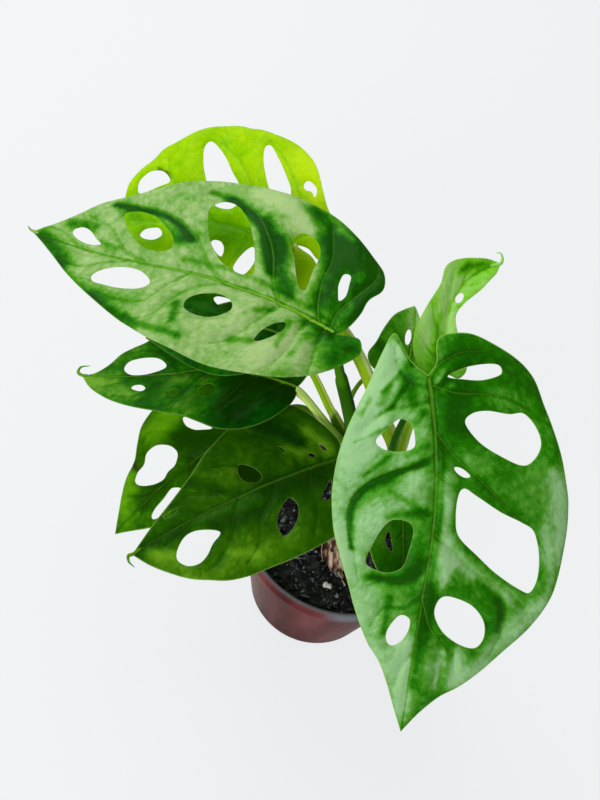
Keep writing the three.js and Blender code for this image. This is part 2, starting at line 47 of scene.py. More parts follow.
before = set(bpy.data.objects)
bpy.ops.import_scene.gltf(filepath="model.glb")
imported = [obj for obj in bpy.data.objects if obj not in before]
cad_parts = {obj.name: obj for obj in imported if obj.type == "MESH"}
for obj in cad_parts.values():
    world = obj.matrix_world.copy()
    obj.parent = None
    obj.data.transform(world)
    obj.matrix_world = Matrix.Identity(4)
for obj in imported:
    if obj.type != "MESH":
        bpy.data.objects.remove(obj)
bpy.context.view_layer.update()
BODY = "root"
MM = 0.001

# --- the plant's sizes, in millimetres ---

POT = dict(height=78, rim=55, shoulder=52.6, base=36.8, wall=1.4, band=8.5, foot=1.5)
DRAIN = dict(count=6, radius=4, circle=25)
SOIL_TOP = 72
SOIL_LUMP = 1.1
# Each bit of perlite: its place on the soil and its size. The shape is its length, width and height.
PERLITE = (((3, -36), 2.3), ((-22, 22), 2.1), ((30, -20), 2.5))
PERLITE_SHAPE = (1.15, 0.9, 0.8)
CRUMB = dict(
    smallest=0.4, spread=1.25, long_share=0.18, long=2.6, round=1.2, chaff_share=0.03, chaff_size=0.55)
CRUMB_SHADES = (0.1, 0.2, 0.35, 0.5, 0.62, 0.74, 0.8)

# Paths from below the soil up, and the radius at each end.
SHOOTS = {
    "left": dict(
        path=((8, -15, 46), (7, -13, 72), (0, -6, 102), (-8, -1, 130), (-14, 4, 150)), radius=(4.8, 3.6)),
    "right": dict(
        path=((19, 6, 46), (18, 7, 72), (15, 8, 100), (11, 8.5, 134)), radius=(4.6, 3.8)),
}

CURVE_STEPS = 24
SHOOT_RINGS = 7
BROWN_FOOT = 20  # height over the soil up to which a shoot is brown
MIDRIB_STEPS = 60
REACH = 50  # half width over which cup and wave are stated
VEIN = (0.45, 0.22)  # half width of a side vein at its foot, and how much narrower it ends
MIDRIB = (0.85, 0.6)
FAR = 20  # vein widths past which every point counts as away from the veins
MIDRIB_SINK = 0.3  # share of the pucker by which the midrib lies under the swellings
PETIOLE_SEAT = (2.5, 0, -0.5)  # the petiole's end, in the axes of its blade's foot
PLAIN_WRAP = (0.3, 0.1)
KNEE = dict(swelling=0.22, before_seat=6, width=4.5)
DRIP = dict(inside=((-5, 0, 0), (-2, 0, 0)), share=(0, 0.4, 1), radius=(0.5, 0.95, 0.15), sides=8)
SLIVER = 1e-7  # area in square millimetres below which a triangle is left out

# Four greens of a blade's upper face, from the painted shade of the deep creases to the pale painted sheen.
SATIN = ((0.002, 0.05, 0.001), (0.01, 0.15, 0.002), (0.085, 0.31, 0.012), (0.41, 0.58, 0.225))
MINT = ((0.003, 0.075, 0.001), (0.016, 0.21, 0.001), (0.11, 0.39, 0.035), (0.4, 0.7, 0.32))
LIMELIGHT = ((0.05, 0.22, 0.0), (0.19, 0.46, 0.0), (0.38, 0.66, 0.0), (0.7, 0.88, 0.002))
BOTTLE = ((0.0, 0.018, 0.0), (0.0, 0.09, 0.001), (0.02, 0.19, 0.001), (0.19, 0.43, 0.03))
OLIVE = ((0.001, 0.022, 0.001), (0.009, 0.068, 0.0), (0.04, 0.14, 0.001), (0.13, 0.32, 0.01))
MOSS = ((0.002, 0.028, 0.0), (0.012, 0.085, 0.0), (0.045, 0.19, 0.001), (0.13, 0.38, 0.004))
FRESH = ((0.015, 0.15, 0.001), (0.08, 0.4, 0.002), (0.21, 0.66, 0.016), (0.44, 0.8, 0.2))

# Each leaf. foot, heading, rise, roll, sag, swing, fold, cup, wave, left, right and holes shape the
# bent blade. from_shoot, stalk and radius shape its petiole.
#   holes    corners of a rounded hole, or an oval: along, across, length, width, turn, egg and bend
#   veins    side veins from the midrib out, as flat points along and across the blade
#   lime     how much the side veins of the left and the right half stand out
#   wax      how much the upper face shines
#   spine    how pale the midrib is at the foot and at the tip
#   margin   how pale the thin line along the rim is
#   painted_sheen how pale the painted sheen is where no stroke changes it, 0 to 1
#   strokes  soft patches of painted sheen and painted shade, with some of the skin's own greens:
#            (change of painted_sheen, width, points)
#   drip     the thin end of the tip: along, across and up from the blade's end
#   wrap     share of the petiole that its sheath wraps, and how far that stands out
LEAVES = {
    "large_left": dict(
        foot=(-42, 11, 216), length=187, heading=160.5, rise=-0.5, roll=-10,
        sag=(23, -1), swing=(14, -14), fold=(6, 9), cup=(-10, -8), wave=(1.5, 3, 40),
        left=((-2, 0), (-8, -3), (-13, -4), (-17, 2), (-14, 13), (-8, 24), (2, 35), (12, 41), (26, 46),
              (44, 49), (62, 49), (78, 47), (97, 40.5), (118, 31), (140, 21), (160, 11), (176, 4),
              (187, 0)),
        right=((-2, 0), (-4, 4), (-5, 9), (-5, 16), (-4, 21), (-4, 25), (-6, 31), (-4.5, 36), (0, 41),
               (9, 46), (20, 52), (31, 56.5), (44, 57), (60, 57.5), (80, 60), (93, 60), (108, 55),
               (124, 48), (142, 40), (154, 33), (161, 26), (171, 14), (187, 0)),
        holes=(
            ((139.5, -5), (146, -3.5), (154, -4), (161, -6.5), (162, -9.5), (157, -12), (151, -11),
             (144.5, -7.5)),
            ((97, -12), (99.5, -8.5), (106, -7.5), (115, -9), (125, -14.5), (133, -20.5), (138, -27),
             (130, -30), (118, -28.5), (108, -23.5), (100, -18)),
            ((49.5, -8), (53, -5), (62, -6), (70, -10), (79, -19), (85.5, -30), (88.5, -40), (84, -45.5),
             (76, -44), (66, -35), (58.5, -25), (53, -15.5)),
            ((23, -11.5), (26, -10.5), (31, -16), (37, -24.5), (42, -30), (42, -36), (38.5, -39.5),
             (32, -38), (27.5, -32), (25.5, -21.5)),
            ((7, -15), (6, -19), (8, -25), (10, -29.5), (13, -28.5), (12, -22.5), (9.5, -18)),
            ((97, 13.5), (100.5, 18), (110, 20), (120, 20), (127, 19.5), (130, 16), (127.5, 11), (120, 6.5),
             (110, 5.5), (101.5, 9)),
            ((47.5, 17), (52, 23.5), (58.5, 26.5), (66, 26.5), (71, 23.5), (71, 18), (66, 13), (58, 10.5),
             (50.5, 12)),
            ((20.5, 10), (19, 14), (21, 20), (24.5, 25.5), (27.5, 26.5), (27.5, 20), (24.5, 13)),
        ),
        from_shoot=(-13, 3, 146), stalk=((-16, 7, 157), (-22, 9, 170), (-32, 11, 190), (-37, 11, 203)),
        radius=(3.3, 1.9), wrap=(0.58, 0.24), palette=SATIN, painted_sheen=0.8, pucker=2.2, lime=(0.06, 0.22),
        spine=(0.8, 0.05), margin=0.1, wax=0.05,
        midrib=((0, 0), (30, 1.4), (60, 2.4), (90, 1.6), (125, 0.6), (187, 0)),
        veins=(
            ((2, 0), (4, -10), (2, -22), (0, -36), (6, -46)),
            ((8, 0), (14, -8), (19, -20), (22, -34), (32, -52)),
            ((30, 1), (38, -7), (46, -21), (54, -31), (65, -41.5), (78, -49), (94, -53)),
            ((60, 2), (71, -3), (80, -12), (88, -20), (98, -27), (111, -31.5), (126, -33.5), (143, -33),
             (151, -31)),
            ((108, 0), (122, -4), (131, -10), (139, -16), (150, -19), (160, -20)),
            ((142, 0), (156, -2), (168, -6), (177, -6)),
            ((4, 0), (2, 10), (-2, 20), (-4, 26)),
            ((12, 0), (13, 10), (11, 22), (12, 34)),
            ((28, 1), (31, 10), (34, 20), (38, 31), (46, 38)),
            ((48, 2), (62, 5), (73, 12), (80, 23), (85, 33), (96, 37)),
            ((80, 2), (88, 14), (94, 24), (106, 27), (124, 25)),
            ((118, 1), (130, 6), (141, 12), (152, 12)),
        ),
        strokes=(
            (-0.8, 12, (-2, -14), (0, -34), (18, -46)), (-0.6, 6, (14, -10), (20, -32), (40, -53)),
            (-0.6, 4, (28, -5), (38, -14), (46, -30)),
            (-0.85, 2.6, (43, -12), (52, -25), (60, -35), (80, -47)),
            (-0.6, 3.6, (44, -20), (52, -32), (58, -38)), (-0.45, 2.0, (80, -47), (92, -51)),
            (-0.8, 2.0, (88, -17), (98, -24.5), (111, -29.5), (128, -31), (148, -31)),
            (-0.35, 4.5, (92, -16), (104, -20), (140, -30)), (0.35, 4.5, (38, -42), (52, -50), (66, -54)),
            (-0.6, 5, (152, 13), (166, 5), (180, 1)), (-0.4, 3.6, (150, -14), (166, -12)),
            (-0.6, 6, (-13, 4), (-9, 14)), (-0.5, 2.4, (70, 35), (75, 24)),
            (-0.4, 2, (62, 42), (84, 41), (98, 36)),
            (-0.5, 3.2, (92, 43), (117, 32), (140, 22), (156, 15)), (-0.4, 2.4, (8, 24), (8, 10)),
            (-0.4, 2, (16, 24), (19, 9)), (-0.4, 2, (28, 28), (38, 32)), (-0.3, 1.6, (30, 6), (40, 16)),
            (-0.4, 3, (0, 3), (14, 4)), (-0.3, 1.8, (128, -4), (140, -6)), (0.5, 2.6, (6, -35), (5, -30)),
            (0.35, 2, (20, -48), (27, -50)), (0.4, 2.2, (10, -43), (8, -39)), (0.3, 2, (32, -44), (36, -48)),
            (0.4, 1.8, (30, -22), (33, -18)), (-0.25, 1.5, (2, -3), (60, -5), (86, -4)),
            (0.3, 3, (0, -12), (2, -18)),
            (-0.15, 5, (-6, 30), (6, 38)), (-0.2, 5, (110, -10), (84, -22)), (-0.2, 4, (120, 26), (100, 26)),
            (-0.5, 7, (-4, -26), (6, -40)), (0.3, 7, (10, 18), (20, 32)), (0.12, 7, (40, 12), (48, 34)),
            (-0.25, 3, (100, 36), (122, 28)), (-0.3, 6, (-6, 2), (2, 8)),
        ),
        drip=((0, 0, 0), (0.8, 0.1, 0.3), (1.2, 0.3, 1.4), (0.8, 0.5, 3.6)),
    ),
    "large_right": dict(
        foot=(7, 0, 220), length=175, heading=-55, rise=-29, roll=12,
        sag=(19, 2), swing=(-16, 2), fold=(-3, -8), cup=(-7, -7), wave=(1.5, 3, 200),
        left=((-2, 0), (-7, 5), (-13, 6), (-18, 8), (-19.5, 14), (-18, 24), (-12, 34), (-3, 45), (7, 53),
              (20, 57), (34, 61), (48, 65), (60, 69), (72, 70.5), (86, 68.5), (100, 66), (113, 62),
              (122, 57), (131, 48), (142, 36), (150, 26), (156, 16), (164, 8), (175, 0)),
        right=((-2, 0), (-9, 6), (-17, 9), (-24, 12), (-16, 19), (-4, 27), (8, 35), (20, 41.5), (33, 46),
               (46, 48), (60, 48.5), (75, 47), (88, 43), (101, 37), (117, 30), (130, 23), (139, 16),
               (150, 10.5), (162, 5.5), (175, 0)),
        holes=(
            ((0, 9), (-2.5, 17), (-3, 26), (-2, 34), (0.5, 36.5), (3, 35), (4, 26), (2.5, 17)),
            ((22, 14.5), (18, 18), (17.5, 26), (20, 37), (20.5, 45), (27, 50.5), (34, 52), (40, 48),
             (42, 42), (38, 32), (31, 21)),
            ((41, 8), (42, 12), (45.5, 16), (46, 13), (43.5, 9)),
            ((51, 13), (55, 10), (64, 9.5), (73, 12), (82, 23), (91, 36), (98, 49), (98.5, 54), (90, 56.5),
             (79, 55.5), (71, 51.5), (67, 44), (62, 32), (55, 20)),
            ((108, 6.5), (103, 9), (103, 15), (107, 25), (115, 32.5), (124, 34.5), (129.5, 31), (128, 23),
             (122, 13.5), (114, 7.5)),
            ((16.5, -16), (20, -11), (26, -10), (31, -11), (32.5, -18), (30.5, -25), (26, -28),
             (20.5, -22)),
            ((66.5, -19), (67.5, -12.5), (72, -10), (82, -11), (90, -12.5), (94, -18), (93.5, -25),
             (90, -30), (79, -27.5), (70, -23.5)),
            ((114, -9), (115.5, -5), (121, -4.5), (127, -7), (130, -11), (128, -14), (123, -14.5),
             (117, -12)),
        ),
        from_shoot=(13, 7, 122), stalk=((12.5, 6, 144), (11.5, 4.5, 158), (9, 1, 180), (7.5, -1, 205)),
        radius=(2.7, 1.8), palette=MINT, painted_sheen=0.34, pucker=2.1, lime=(0.25, 0.05), spine=(0.42, 0.2),
        margin=0.6,
        wax=0.11,
        midrib=((0, 0), (60, -0.8), (110, -0.5), (175, 0)),
        veins=(
            ((0, 0), (-6, 6), (-10, 18), (-8, 32)),
            ((3, 1), (8, 12), (10, 24), (13, 36), (19, 48)),
            ((24, 0), (36, 8), (46, 19), (55, 29), (63, 38), (69, 48), (80, 59)),
            ((44, 0), (50, 8), (54, 14), (52, 22)),
            ((72, 0), (80, 9), (88, 20), (94, 31), (100, 38), (111, 43), (122, 43.5), (134, 39)),
            ((94, 31), (99, 42), (108, 53)),
            ((106, 0), (118, 5), (128, 12), (140, 15), (150, 15)),
            ((124, 12), (134, 20), (144, 22)),
            ((4, 0), (0, -8), (-8, -13), (-17, -13)),
            ((10, 0), (11, -10), (12, -22), (20, -34)),
            ((35, 0), (40, -8), (43, -20), (49, -32), (58, -39), (72, -40.5), (88, -36), (100, -32)),
            ((84, 0), (94, -4), (98, -10), (98, -20), (102, -27)),
            ((102, 0), (110, -8), (112, -18), (122, -23)),
            ((132, 0), (140, -5), (150, -7)),
        ),
        strokes=(
            (0.52, 17, (-10, -20), (12, -32), (40, -42), (78, -44), (108, -32), (140, -12)),
            (0.45, 10, (16, -12), (52, -14), (70, -26)), (0.4, 5, (128, -5), (160, -2)),
            (0.35, 7, (-14, -14), (10, -26), (30, -36)),
            (-0.8, 1.9, (38, -6), (43, -19), (49, -31), (58, -38), (72, -39.5), (84, -38)),
            (-0.25, 3, (45, -18), (51, -29), (60, -36)), (-0.45, 2.2, (62, -5), (63, -14), (65, -22)),
            (-0.6, 2.4, (92, -5), (97, -14), (97, -28)), (-0.35, 3.4, (86, -4), (90, -10)),
            (-0.4, 3, (-8, -9), (1, -10), (12, -9)), (-0.3, 1.6, (0, -18), (8, -24)),
            (-0.4, 1.6, (14, -4), (19, -9)),
            (-0.35, 1.8, (30, -4), (34, -14)), (-0.4, 2, (106, -16), (124, -16)),
            (-0.3, 1.4, (60, -8), (52, -22)),
            (-0.4, 1.3, (34, -22), (44, -34)), (-0.4, 1.2, (20, -22), (26, -38)),
            (-0.5, 1.2, (-20, -10), (-8, -6)),
            (-0.45, 1.3, (2, -12), (10, -19)), (-0.4, 1.1, (-6, -12), (2, -22)),
            (-0.4, 1.2, (4, -28), (12, -33)),
            (-0.35, 1.0, (-10, -16), (-12, -12)), (-0.35, 1.2, (10, -18), (14, -28)),
            (0.4, 4, (74, -43), (88, -40)),
            (-0.3, 9, (6, 14), (22, 8)), (-0.12, 7, (48, 26), (58, 36)),
            (0.42, 4.5, (48, 62), (62, 66), (74, 68)),
            (0.35, 6, (78, 3), (92, 3)), (0.14, 6, (128, 10), (146, 10)), (0.4, 3.5, (152, -3), (168, -1)),
            (-0.26, 6, (0, -10), (12, -18), (24, -12)), (-0.3, 3, (2, -20), (8, -24)),
            (0.2, 10, (46, 50), (58, 60), (82, 60)), (0.55, 9, (110, 58), (128, 44), (143, 28)),
            (0.55, 3.6, (84, 14), (94, 28), (102, 44)), (0.35, 3, (70, 57), (90, 63), (104, 61)),
            (-0.5, 2.2, (94, 25), (104, 38), (120, 41)), (-0.3, 3, (96, 4), (112, 4), (150, 3)),
            (0.5, 2.6, (130, 22), (148, 22)), (0.4, 2, (132, 14), (150, 13)), (-0.3, 4, (118, 34), (134, 30)),
            (-0.2, 8, (-8, 18), (2, 40), (18, 54)), (0.5, 4, (46, 3), (70, 6), (84, 8)),
            (0.5, 2.4, (84, 10), (98, 7)),
            (-0.35, 1.3, (30, 2), (90, 1.6), (150, 1.5)), (0.4, 1.2, (2, 3), (-3, 8)),
            (-0.4, 1.1, (4, 4), (0, 9)),
            (0.35, 1.2, (6, 5), (4, 11)), (0.35, 2.5, (66, 65), (84, 67)), (-0.3, 3, (60, 12), (68, 9)),
            (0.2, 4, (10, 30), (16, 50)), (0.2, 4, (36, 12), (60, 44)), (0.25, 3, (46, 56), (66, 62)),
        ),
    ),
    "top_back": dict(
        foot=(-76, 71, 202), length=108, heading=161.5, rise=-18.5, roll=-25,
        sag=(3, -10), swing=(7, -3), fold=(5, 5), cup=(-6, -8), wave=(2, 2.5, 0),
        left=((-1, 0), (-6, 1.5), (-14, 4), (-21, 10), (-24, 19), (-20, 28), (-8, 34), (8, 37), (24, 39),
              (44, 43), (62, 40), (82, 31), (98, 16), (108, 0)),
        right=((-1, 0), (-9, 0), (-17, -4), (-24, -3), (-25, 6), (-18, 16), (-8, 24), (0, 33), (8, 43),
               (16, 50.5), (27, 57), (40, 58.5), (52, 60.5), (64, 64), (74, 60), (85, 52), (95, 43),
               (101, 37), (104, 28), (108, 20), (110, 10), (108, 0)),
        holes=(
            ((101, -6.5), (104.5, -11), (104.5, -15.5), (101.5, -21), (95, -23), (89, -20.5), (87.5, -17.5),
             (92, -13.5)),
            ((44, -9.5), (53, -9.5), (60, -15), (67, -25), (72, -32), (76, -40), (77, -45), (75, -48.5),
             (69, -46), (60, -39), (52, -31), (44, -23), (40.5, -15)),
            ((15, -23), (21, -21.5), (28, -26), (34, -34), (38.5, -42), (40.5, -49), (38, -51), (32, -45.5),
             (24, -37), (17, -29)),
            ((2, -27.5), (5, -30), (9, -30.5), (11.5, -33), (10.5, -36), (6, -34.5), (2.5, -31.5)),
            ((76, 14), (79, 18), (84.5, 19), (88, 17.5), (87, 13.5), (83, 11), (79.5, 10.5)),
            ((35, 19), (40, 17), (45, 13), (44.5, 10.5), (40, 10.5), (36, 14)),
            ((14.5, 18), (16, 25), (21, 25.5), (25, 23), (24.5, 16), (22, 10), (19.5, 9), (16.5, 13)),
        ),
        from_shoot=(11, 9, 128), stalk=((9.5, 12, 146), (-0.5, 17, 157), (-14, 23, 174), (-24, 28, 184),
                                        (-35, 35, 190), (-51, 43, 194), (-66, 57, 196)),
        radius=(3.9, 2.8), palette=LIMELIGHT, painted_sheen=0.72, pucker=1.3, lime=(0.5, 0.5), spine=(0.6, 0.3),
        margin=0.3,
        wax=0.06,
        midrib=((0, 0), (108, 0)),
        veins=(
            ((2, 0), (-6, -8), (-14, -14)),
            ((6, 0), (4, -14), (10, -26), (20, -37), (30, -47), (40, -54)),
            ((22, 0), (30, -12), (38, -25), (45, -33), (54, -41), (64, -47), (72, -54)),
            ((50, 0), (62, -8), (76, -14), (86, -20), (95, -31)),
            ((74, 0), (84, -6), (92, -6)),
            ((10, 0), (14, 10), (14, 24), (20, 34)),
            ((28, 0), (27, 8), (28, 20), (34, 34)),
            ((48, 0), (56, 10), (62, 24), (68, 34)),
            ((70, 0), (78, 6), (88, 8), (96, 10)),
        ),
        strokes=(
            (-0.1, 7, (84, -28), (92, -36)), (-0.12, 5, (52, -44), (66, -52)), (-0.45, 12, (24, 6), (50, 8)),
            (-0.4, 10, (56, -12), (90, -6)), (0.3, 8, (0, -30), (20, -52)), (-0.2, 6, (40, -12), (52, -26)),
            (-0.35, 8, (80, 16), (96, 8)), (-0.12, 3, (68, -50), (80, -44)),
            (0.9, 13, (-20, 18), (-6, 16)),
        ),
        scars=((1.0, (88, -19.5), (91, -22.8), (98, -23.5)),),
    ),
    "middle_left": dict(
        foot=(-50, 10, 169), length=114, heading=179.5, rise=4.5, roll=5,
        sag=(34, -10), swing=(10, -7), fold=(-4, 8), cup=(-8, -6), wave=(2, 2.5, 90),
        left=((-1, 0), (-2, 6), (0, 14), (6, 24), (14, 31), (25, 35), (36, 36), (46, 33), (58, 27.5),
              (70, 23), (82, 20), (92, 16.5), (100, 12.5), (108, 7), (114, 0)),
        right=((-1, 0), (-3, 6), (-4, 14), (-2, 24), (5, 35), (18, 43), (33, 46.5), (48, 46), (60, 42),
               (72, 33), (82, 23.5), (90, 19.5), (96, 15.5), (101, 8), (107, 2.5), (114, 0)),
        holes=(
            ((69, -4.5), (75, -2), (81, -1), (88, -1.5), (92, -5), (90, -10), (83, -12), (75, -11.5),
             (70, -8)),
            ((77.5, 8.5), (80, 10), (85, 8), (84, 6), (80, 6)),
            (62, 13, 5.5, 5, 0, 0, 0),
            (44, 13.5, 10, 8, 25, 0, 0),
        ),
        from_shoot=(-10, 0, 138), stalk=((-15, 3, 146), (-22, 4, 150), (-33, 5, 159), (-43, 8, 165)),
        radius=(2.6, 1.8), palette=BOTTLE, painted_sheen=0.36, pucker=1.4, lime=(0.06, 0.06), spine=(0.8, 0.25),
        margin=0.3,
        wax=0.08,
        midrib=((0, 0), (114, 0)),
        veins=(
            ((6, 0), (12, 8), (18, 17), (28, 26)), ((22, 0), (28, 10), (34, 20), (44, 28)),
            ((44, 0), (52, 8), (60, 18), (72, 21)), ((64, 0), (72, 7), (82, 13), (94, 13)),
            ((86, 0), (94, 5), (102, 7)), ((4, 0), (2, -12), (6, -26)),
            ((20, 0), (26, -14), (36, -28), (44, -40)),
            ((44, 0), (54, -10), (62, -22), (70, -30)), ((60, 0), (70, -12), (80, -17), (92, -15)),
        ),
        strokes=(
            (0.4, 6, (84, 12), (98, 9), (108, 4)), (0.2, 7, (50, 18), (64, 18), (66, 6)),
            (0.3, 6, (84, -17), (98, -12)),
            (0.25, 6, (46, 6), (60, 5)), (-0.36, 12, (4, 6), (24, 8), (30, 24)),
            (0.12, 9, (36, 12), (48, 26)), (0.35, 5, (96, 2), (112, 1)),
            (0.2, 5, (46, 28), (60, 24)), (-0.3, 3, (60, 12), (61, 13)),
        ),
        drip=((0, 0, 0), (2.5, -1.5, 0.4), (2, -4.6, 1), (-3, -5.8, 1.4)),
    ),
    "low_front": dict(
        foot=(-18, -16, 159), length=111, heading=-140.5, rise=0, roll=-10,
        sag=(12, 5), swing=(7, 8), fold=(5, 4), cup=(-8, -8), wave=(2, 2.5, 150),
        left=((-1, 0), (-6, 6), (-6, 14), (-2, 22), (6, 30), (16, 36), (28, 38.5), (42, 39.5), (56, 38.5),
              (68, 37.5), (78, 35), (86, 30.5), (94, 25), (101, 17.5), (107, 9), (111, 0)),
        right=((-1, 0), (-4, 6), (-3, 12), (1, 20), (7, 29), (13, 34), (22, 36), (32, 36), (42, 33.5),
               (51, 29.5), (60, 25), (70, 18.5), (82, 12.5), (96, 6.5), (104, 3), (111, 0)),
        holes=(
            ((70, 12.5), (76, 16), (81, 19.5), (86.5, 21), (92, 19), (94.5, 14), (91.5, 9.5), (85, 6),
             (78, 7)),
            ((39.5, -3.5), (43.5, -2), (48.5, -5.5), (49, -10.5), (47, -13.5), (43, -11), (40, -7)),
            ((29.5, 17), (33, 23), (39, 27), (43, 27.5), (43.5, 22), (40.5, 17), (35, 12.5), (31, 11.5)),
            ((8, 9), (9.5, 14), (12, 18), (15.5, 18.5), (16, 16), (12.5, 13)),
            (86, -7, 8, 2, 4, 0, 0),
            (5, -8, 5, 1.7, -60, 0, 0),
            (25, -13, 4.5, 1.8, -60, 0, 0),
            (12, -5.5, 4, 1.8, -35, 0, 0),
        ),
        from_shoot=(-7, -2, 124), stalk=((-9, -4, 138), (-11, -8, 151)),
        radius=(2.4, 1.7), palette=OLIVE, painted_sheen=0.4, pucker=1.2, lime=(0.05, 0.05), spine=(0.22, 0.08),
        margin=0.35,
        wax=0.07,
        midrib=((0, 0), (40, 1), (60, 1), (111, 0)),
        veins=(
            ((4, 0), (0, 10), (0, 20)), ((14, 0), (20, 10), (22, 22), (28, 32)),
            ((32, 0), (40, 8), (50, 16), (56, 26), (66, 32)),
            ((52, 0), (60, 8), (66, 16), (76, 24), (86, 26)),
            ((74, 0), (84, 4), (96, 5)), ((8, 0), (8, -10), (14, -22), (22, -31)),
            ((20, 0), (22, -10), (30, -20), (38, -27)), ((34, 0), (38, -4), (50, -14), (60, -18)),
            ((54, 0), (62, -5), (74, -10), (84, -10)),
        ),
        strokes=(
            (0.6, 4, (4, -6), (10, -18)), (0.4, 3, (14, -6), (22, -12)), (-0.5, 3.4, (16, -14), (30, -28)),
            (0.5, 3, (104, 4), (94, 12)), (-0.3, 3, (60, -6), (72, -16)), (0.3, 2.5, (70, 24), (60, 30)),
            (0.3, 5, (94, 20), (102, 10)), (0.25, 8, (62, 26), (80, 30)), (-0.35, 6, (12, 6), (40, 4)),
            (-0.3, 5, (50, 12), (70, 10)), (0.25, 6, (40, 30), (56, 32)), (0.2, 5, (52, -12), (66, -12)),
            (-0.3, 5, (86, 2), (104, 1)), (0.3, 3, (96, 24), (88, 30)),
        ),
        drip=((0, 0, 0), (1.6, -0.5, 0), (3, 2.2, 0.5), (2.2, 6, 1)),
    ),
    "low_left": dict(
        foot=(-51, 10, 149), length=112, heading=-143, rise=-22, roll=-5,
        sag=(12, 10), swing=(11, 8), fold=(4, 4), cup=(-6, -6), wave=(2, 2.5, 60),
        left=((-1, 0), (-5, 8), (-2, 20), (10, 31), (30, 36), (52, 34), (72, 26), (86, 18), (95, 12.5),
              (104, 6), (112, 0)),
        right=((-1, 0), (-5, 8), (-3, 20), (8, 33), (26, 40), (44, 41), (58, 38.5), (67, 34.5), (74, 27.5),
               (80, 21), (88, 17.5), (95, 13), (103, 6.5), (112, 0)),
        holes=(
            ((60, -8), (64, -4.5), (69, -4), (73.5, -2.5), (79, -4), (84.5, -8), (86, -12), (82, -15),
             (77, -16), (72.5, -20), (66.5, -20), (61.5, -16), (59.5, -11.5)),
            ((68.5, 8.5), (74, 12), (82, 13), (89, 11.5), (90, 9), (86, 7), (79, 6), (73, 4.5), (70, 6)),
            ((38, -9), (42, -11), (46, -14), (48.5, -19), (47.5, -23.5), (43.5, -19), (39.5, -13.5)),
        ),
        from_shoot=(-9, 1, 130), stalk=((-15, 6, 140), (-21, 9, 144), (-30, 12, 147), (-43, 13, 150)),
        radius=(2.5, 1.6), palette=MOSS, painted_sheen=0.42, pucker=1.2, lime=(0.06, 0.06), spine=(0.12, 0.12),
        margin=0.35,
        wax=0.06,
        midrib=((0, 0), (112, 0)),
        veins=(
            ((6, 0), (8, -14), (16, -28)), ((26, 0), (34, -12), (48, -26), (60, -33)),
            ((52, 0), (58, -8), (56, -18), (64, -28), (72, -26)), ((76, 0), (88, -4), (94, -10)),
            ((8, 0), (10, 14), (18, 28)), ((30, 0), (40, 12), (52, 24)), ((56, 0), (64, 10), (74, 18)),
            ((88, 0), (94, 4), (100, 4)),
        ),
        strokes=((0.5, 6, (52, -30), (66, -28)), (0.45, 5, (86, -15), (100, -6)),
         (-0.4, 6, (44, -4), (54, -16)),
                 (-0.25, 5, (76, 0), (92, 0)), (0.25, 4, (96, 2), (106, 1)),
                 (0.35, 7, (40, -30), (58, -24)), (-0.35, 9, (34, 4), (52, 0)),
                 (-0.6, 9, (26, 20), (40, 24))),
        scars=((1.3, (80, -14.5), (81.5, -18), (80.5, -21)),),
    ),
    "small_right": dict(
        foot=(17, 20, 207), length=70, heading=124, rise=19, roll=0,
        sag=(-3, -25), swing=(-33, -54), fold=(16, 16), cup=(4, 4), wave=(1, 2, 0),
        left=((-1, 0), (-4, 6), (-3, 12), (2, 17.5), (9, 20), (17, 18), (26, 14), (34, 11), (41, 10),
              (47, 13), (52, 12), (60, 7), (65, 4), (70, 0)),
        right=((-1, 0), (-4, 4), (0, 9), (10, 9), (20, 6.5), (30, 4), (38, 5.5), (46, 7.5), (54, 8),
               (61, 6.5), (67, 4), (70, 0)),
        holes=(
            (41, -2.4, 6.5, 3.6, 0, 0, 0),
        ),
        from_shoot=(12, 9, 126), stalk=((8.5, 8.5, 147), (7, 11, 160), (8.5, 15, 183), (13.5, 17.5, 199)),
        radius=(2.7, 1.3), palette=FRESH, painted_sheen=0.66, pucker=0.9, lime=(0.3, 0.3), spine=(0.5, 0.3),
        margin=0.4,
        wax=0.12,
        midrib=((0, 0), (70, 0)),
        veins=(
            ((6, 0), (8, 8), (14, 14)), ((18, 0), (24, 7), (32, 11)), ((34, 0), (42, 4), (50, 9)),
            ((48, 0), (56, 4), (62, 3)), ((10, 0), (16, -5)), ((30, 0), (38, -5)), ((46, 0), (54, -5)),
        ),
        strokes=(
            (0.5, 5, (20, -2), (34, 2), (48, 8)), (0.3, 4, (36, 3), (52, 1)), (-0.4, 1.6, (28, 4), (14, 5)),
            (0.3, 3, (26, 12), (12, 14)), (-0.4, 1.6, (44, 6), (56, 6)), (-0.35, 1.6, (12, 6), (4, 4)),
            (-0.35, 4, (52, 6), (62, 2)), (-0.3, 5, (2, 10), (8, 3)), (0.3, 3, (14, 12), (24, 12)),
        ),
        drip=((0, 0, 0), (1.5, 2, 0), (1.2, 5, 0), (-1, 5.6, 0.5)),
    ),
    "small_back": dict(
        foot=(0, 37, 175), length=37, heading=89, rise=26, roll=-10,
        sag=(-3, -4), swing=(10, 13), fold=(6, 24), cup=(-4, -4), wave=(1, 1.5, 90),
        left=((-1, 0), (-4, 7), (-3, 14), (0, 19), (6, 21), (14, 18.5), (24, 15.5), (32, 11), (35.5, 5),
              (37, 0)),
        right=((-1, 0), (-3, 5), (0, 10), (6, 12), (14, 9), (25, 4.5), (32, 2), (37, 0)),
        holes=(
            (20, 2.6, 8.5, 3.2, 0, 0, 0),
        ),
        from_shoot=(-13, 4, 142), stalk=((-17, 14, 150), (-21, 24, 157), (-18, 35, 163), (-10, 40, 168)),
        radius=(1.4, 1.0), palette=SATIN, painted_sheen=0.44, pucker=0.7, lime=(0.2, 0.2), spine=(0.4, 0.3),
        margin=0.3,
        wax=0.12,
        midrib=((0, 0), (37, 0)),
        veins=(((6, 0), (8, 10), (14, 17)), ((16, 0), (20, 8), (28, 12)), ((10, 0), (16, -7))),
        strokes=((0.35, 4, (24, 0), (36, 1)), (-0.3, 4, (6, 12), (12, 16))),
    ),
    "small_low": dict(
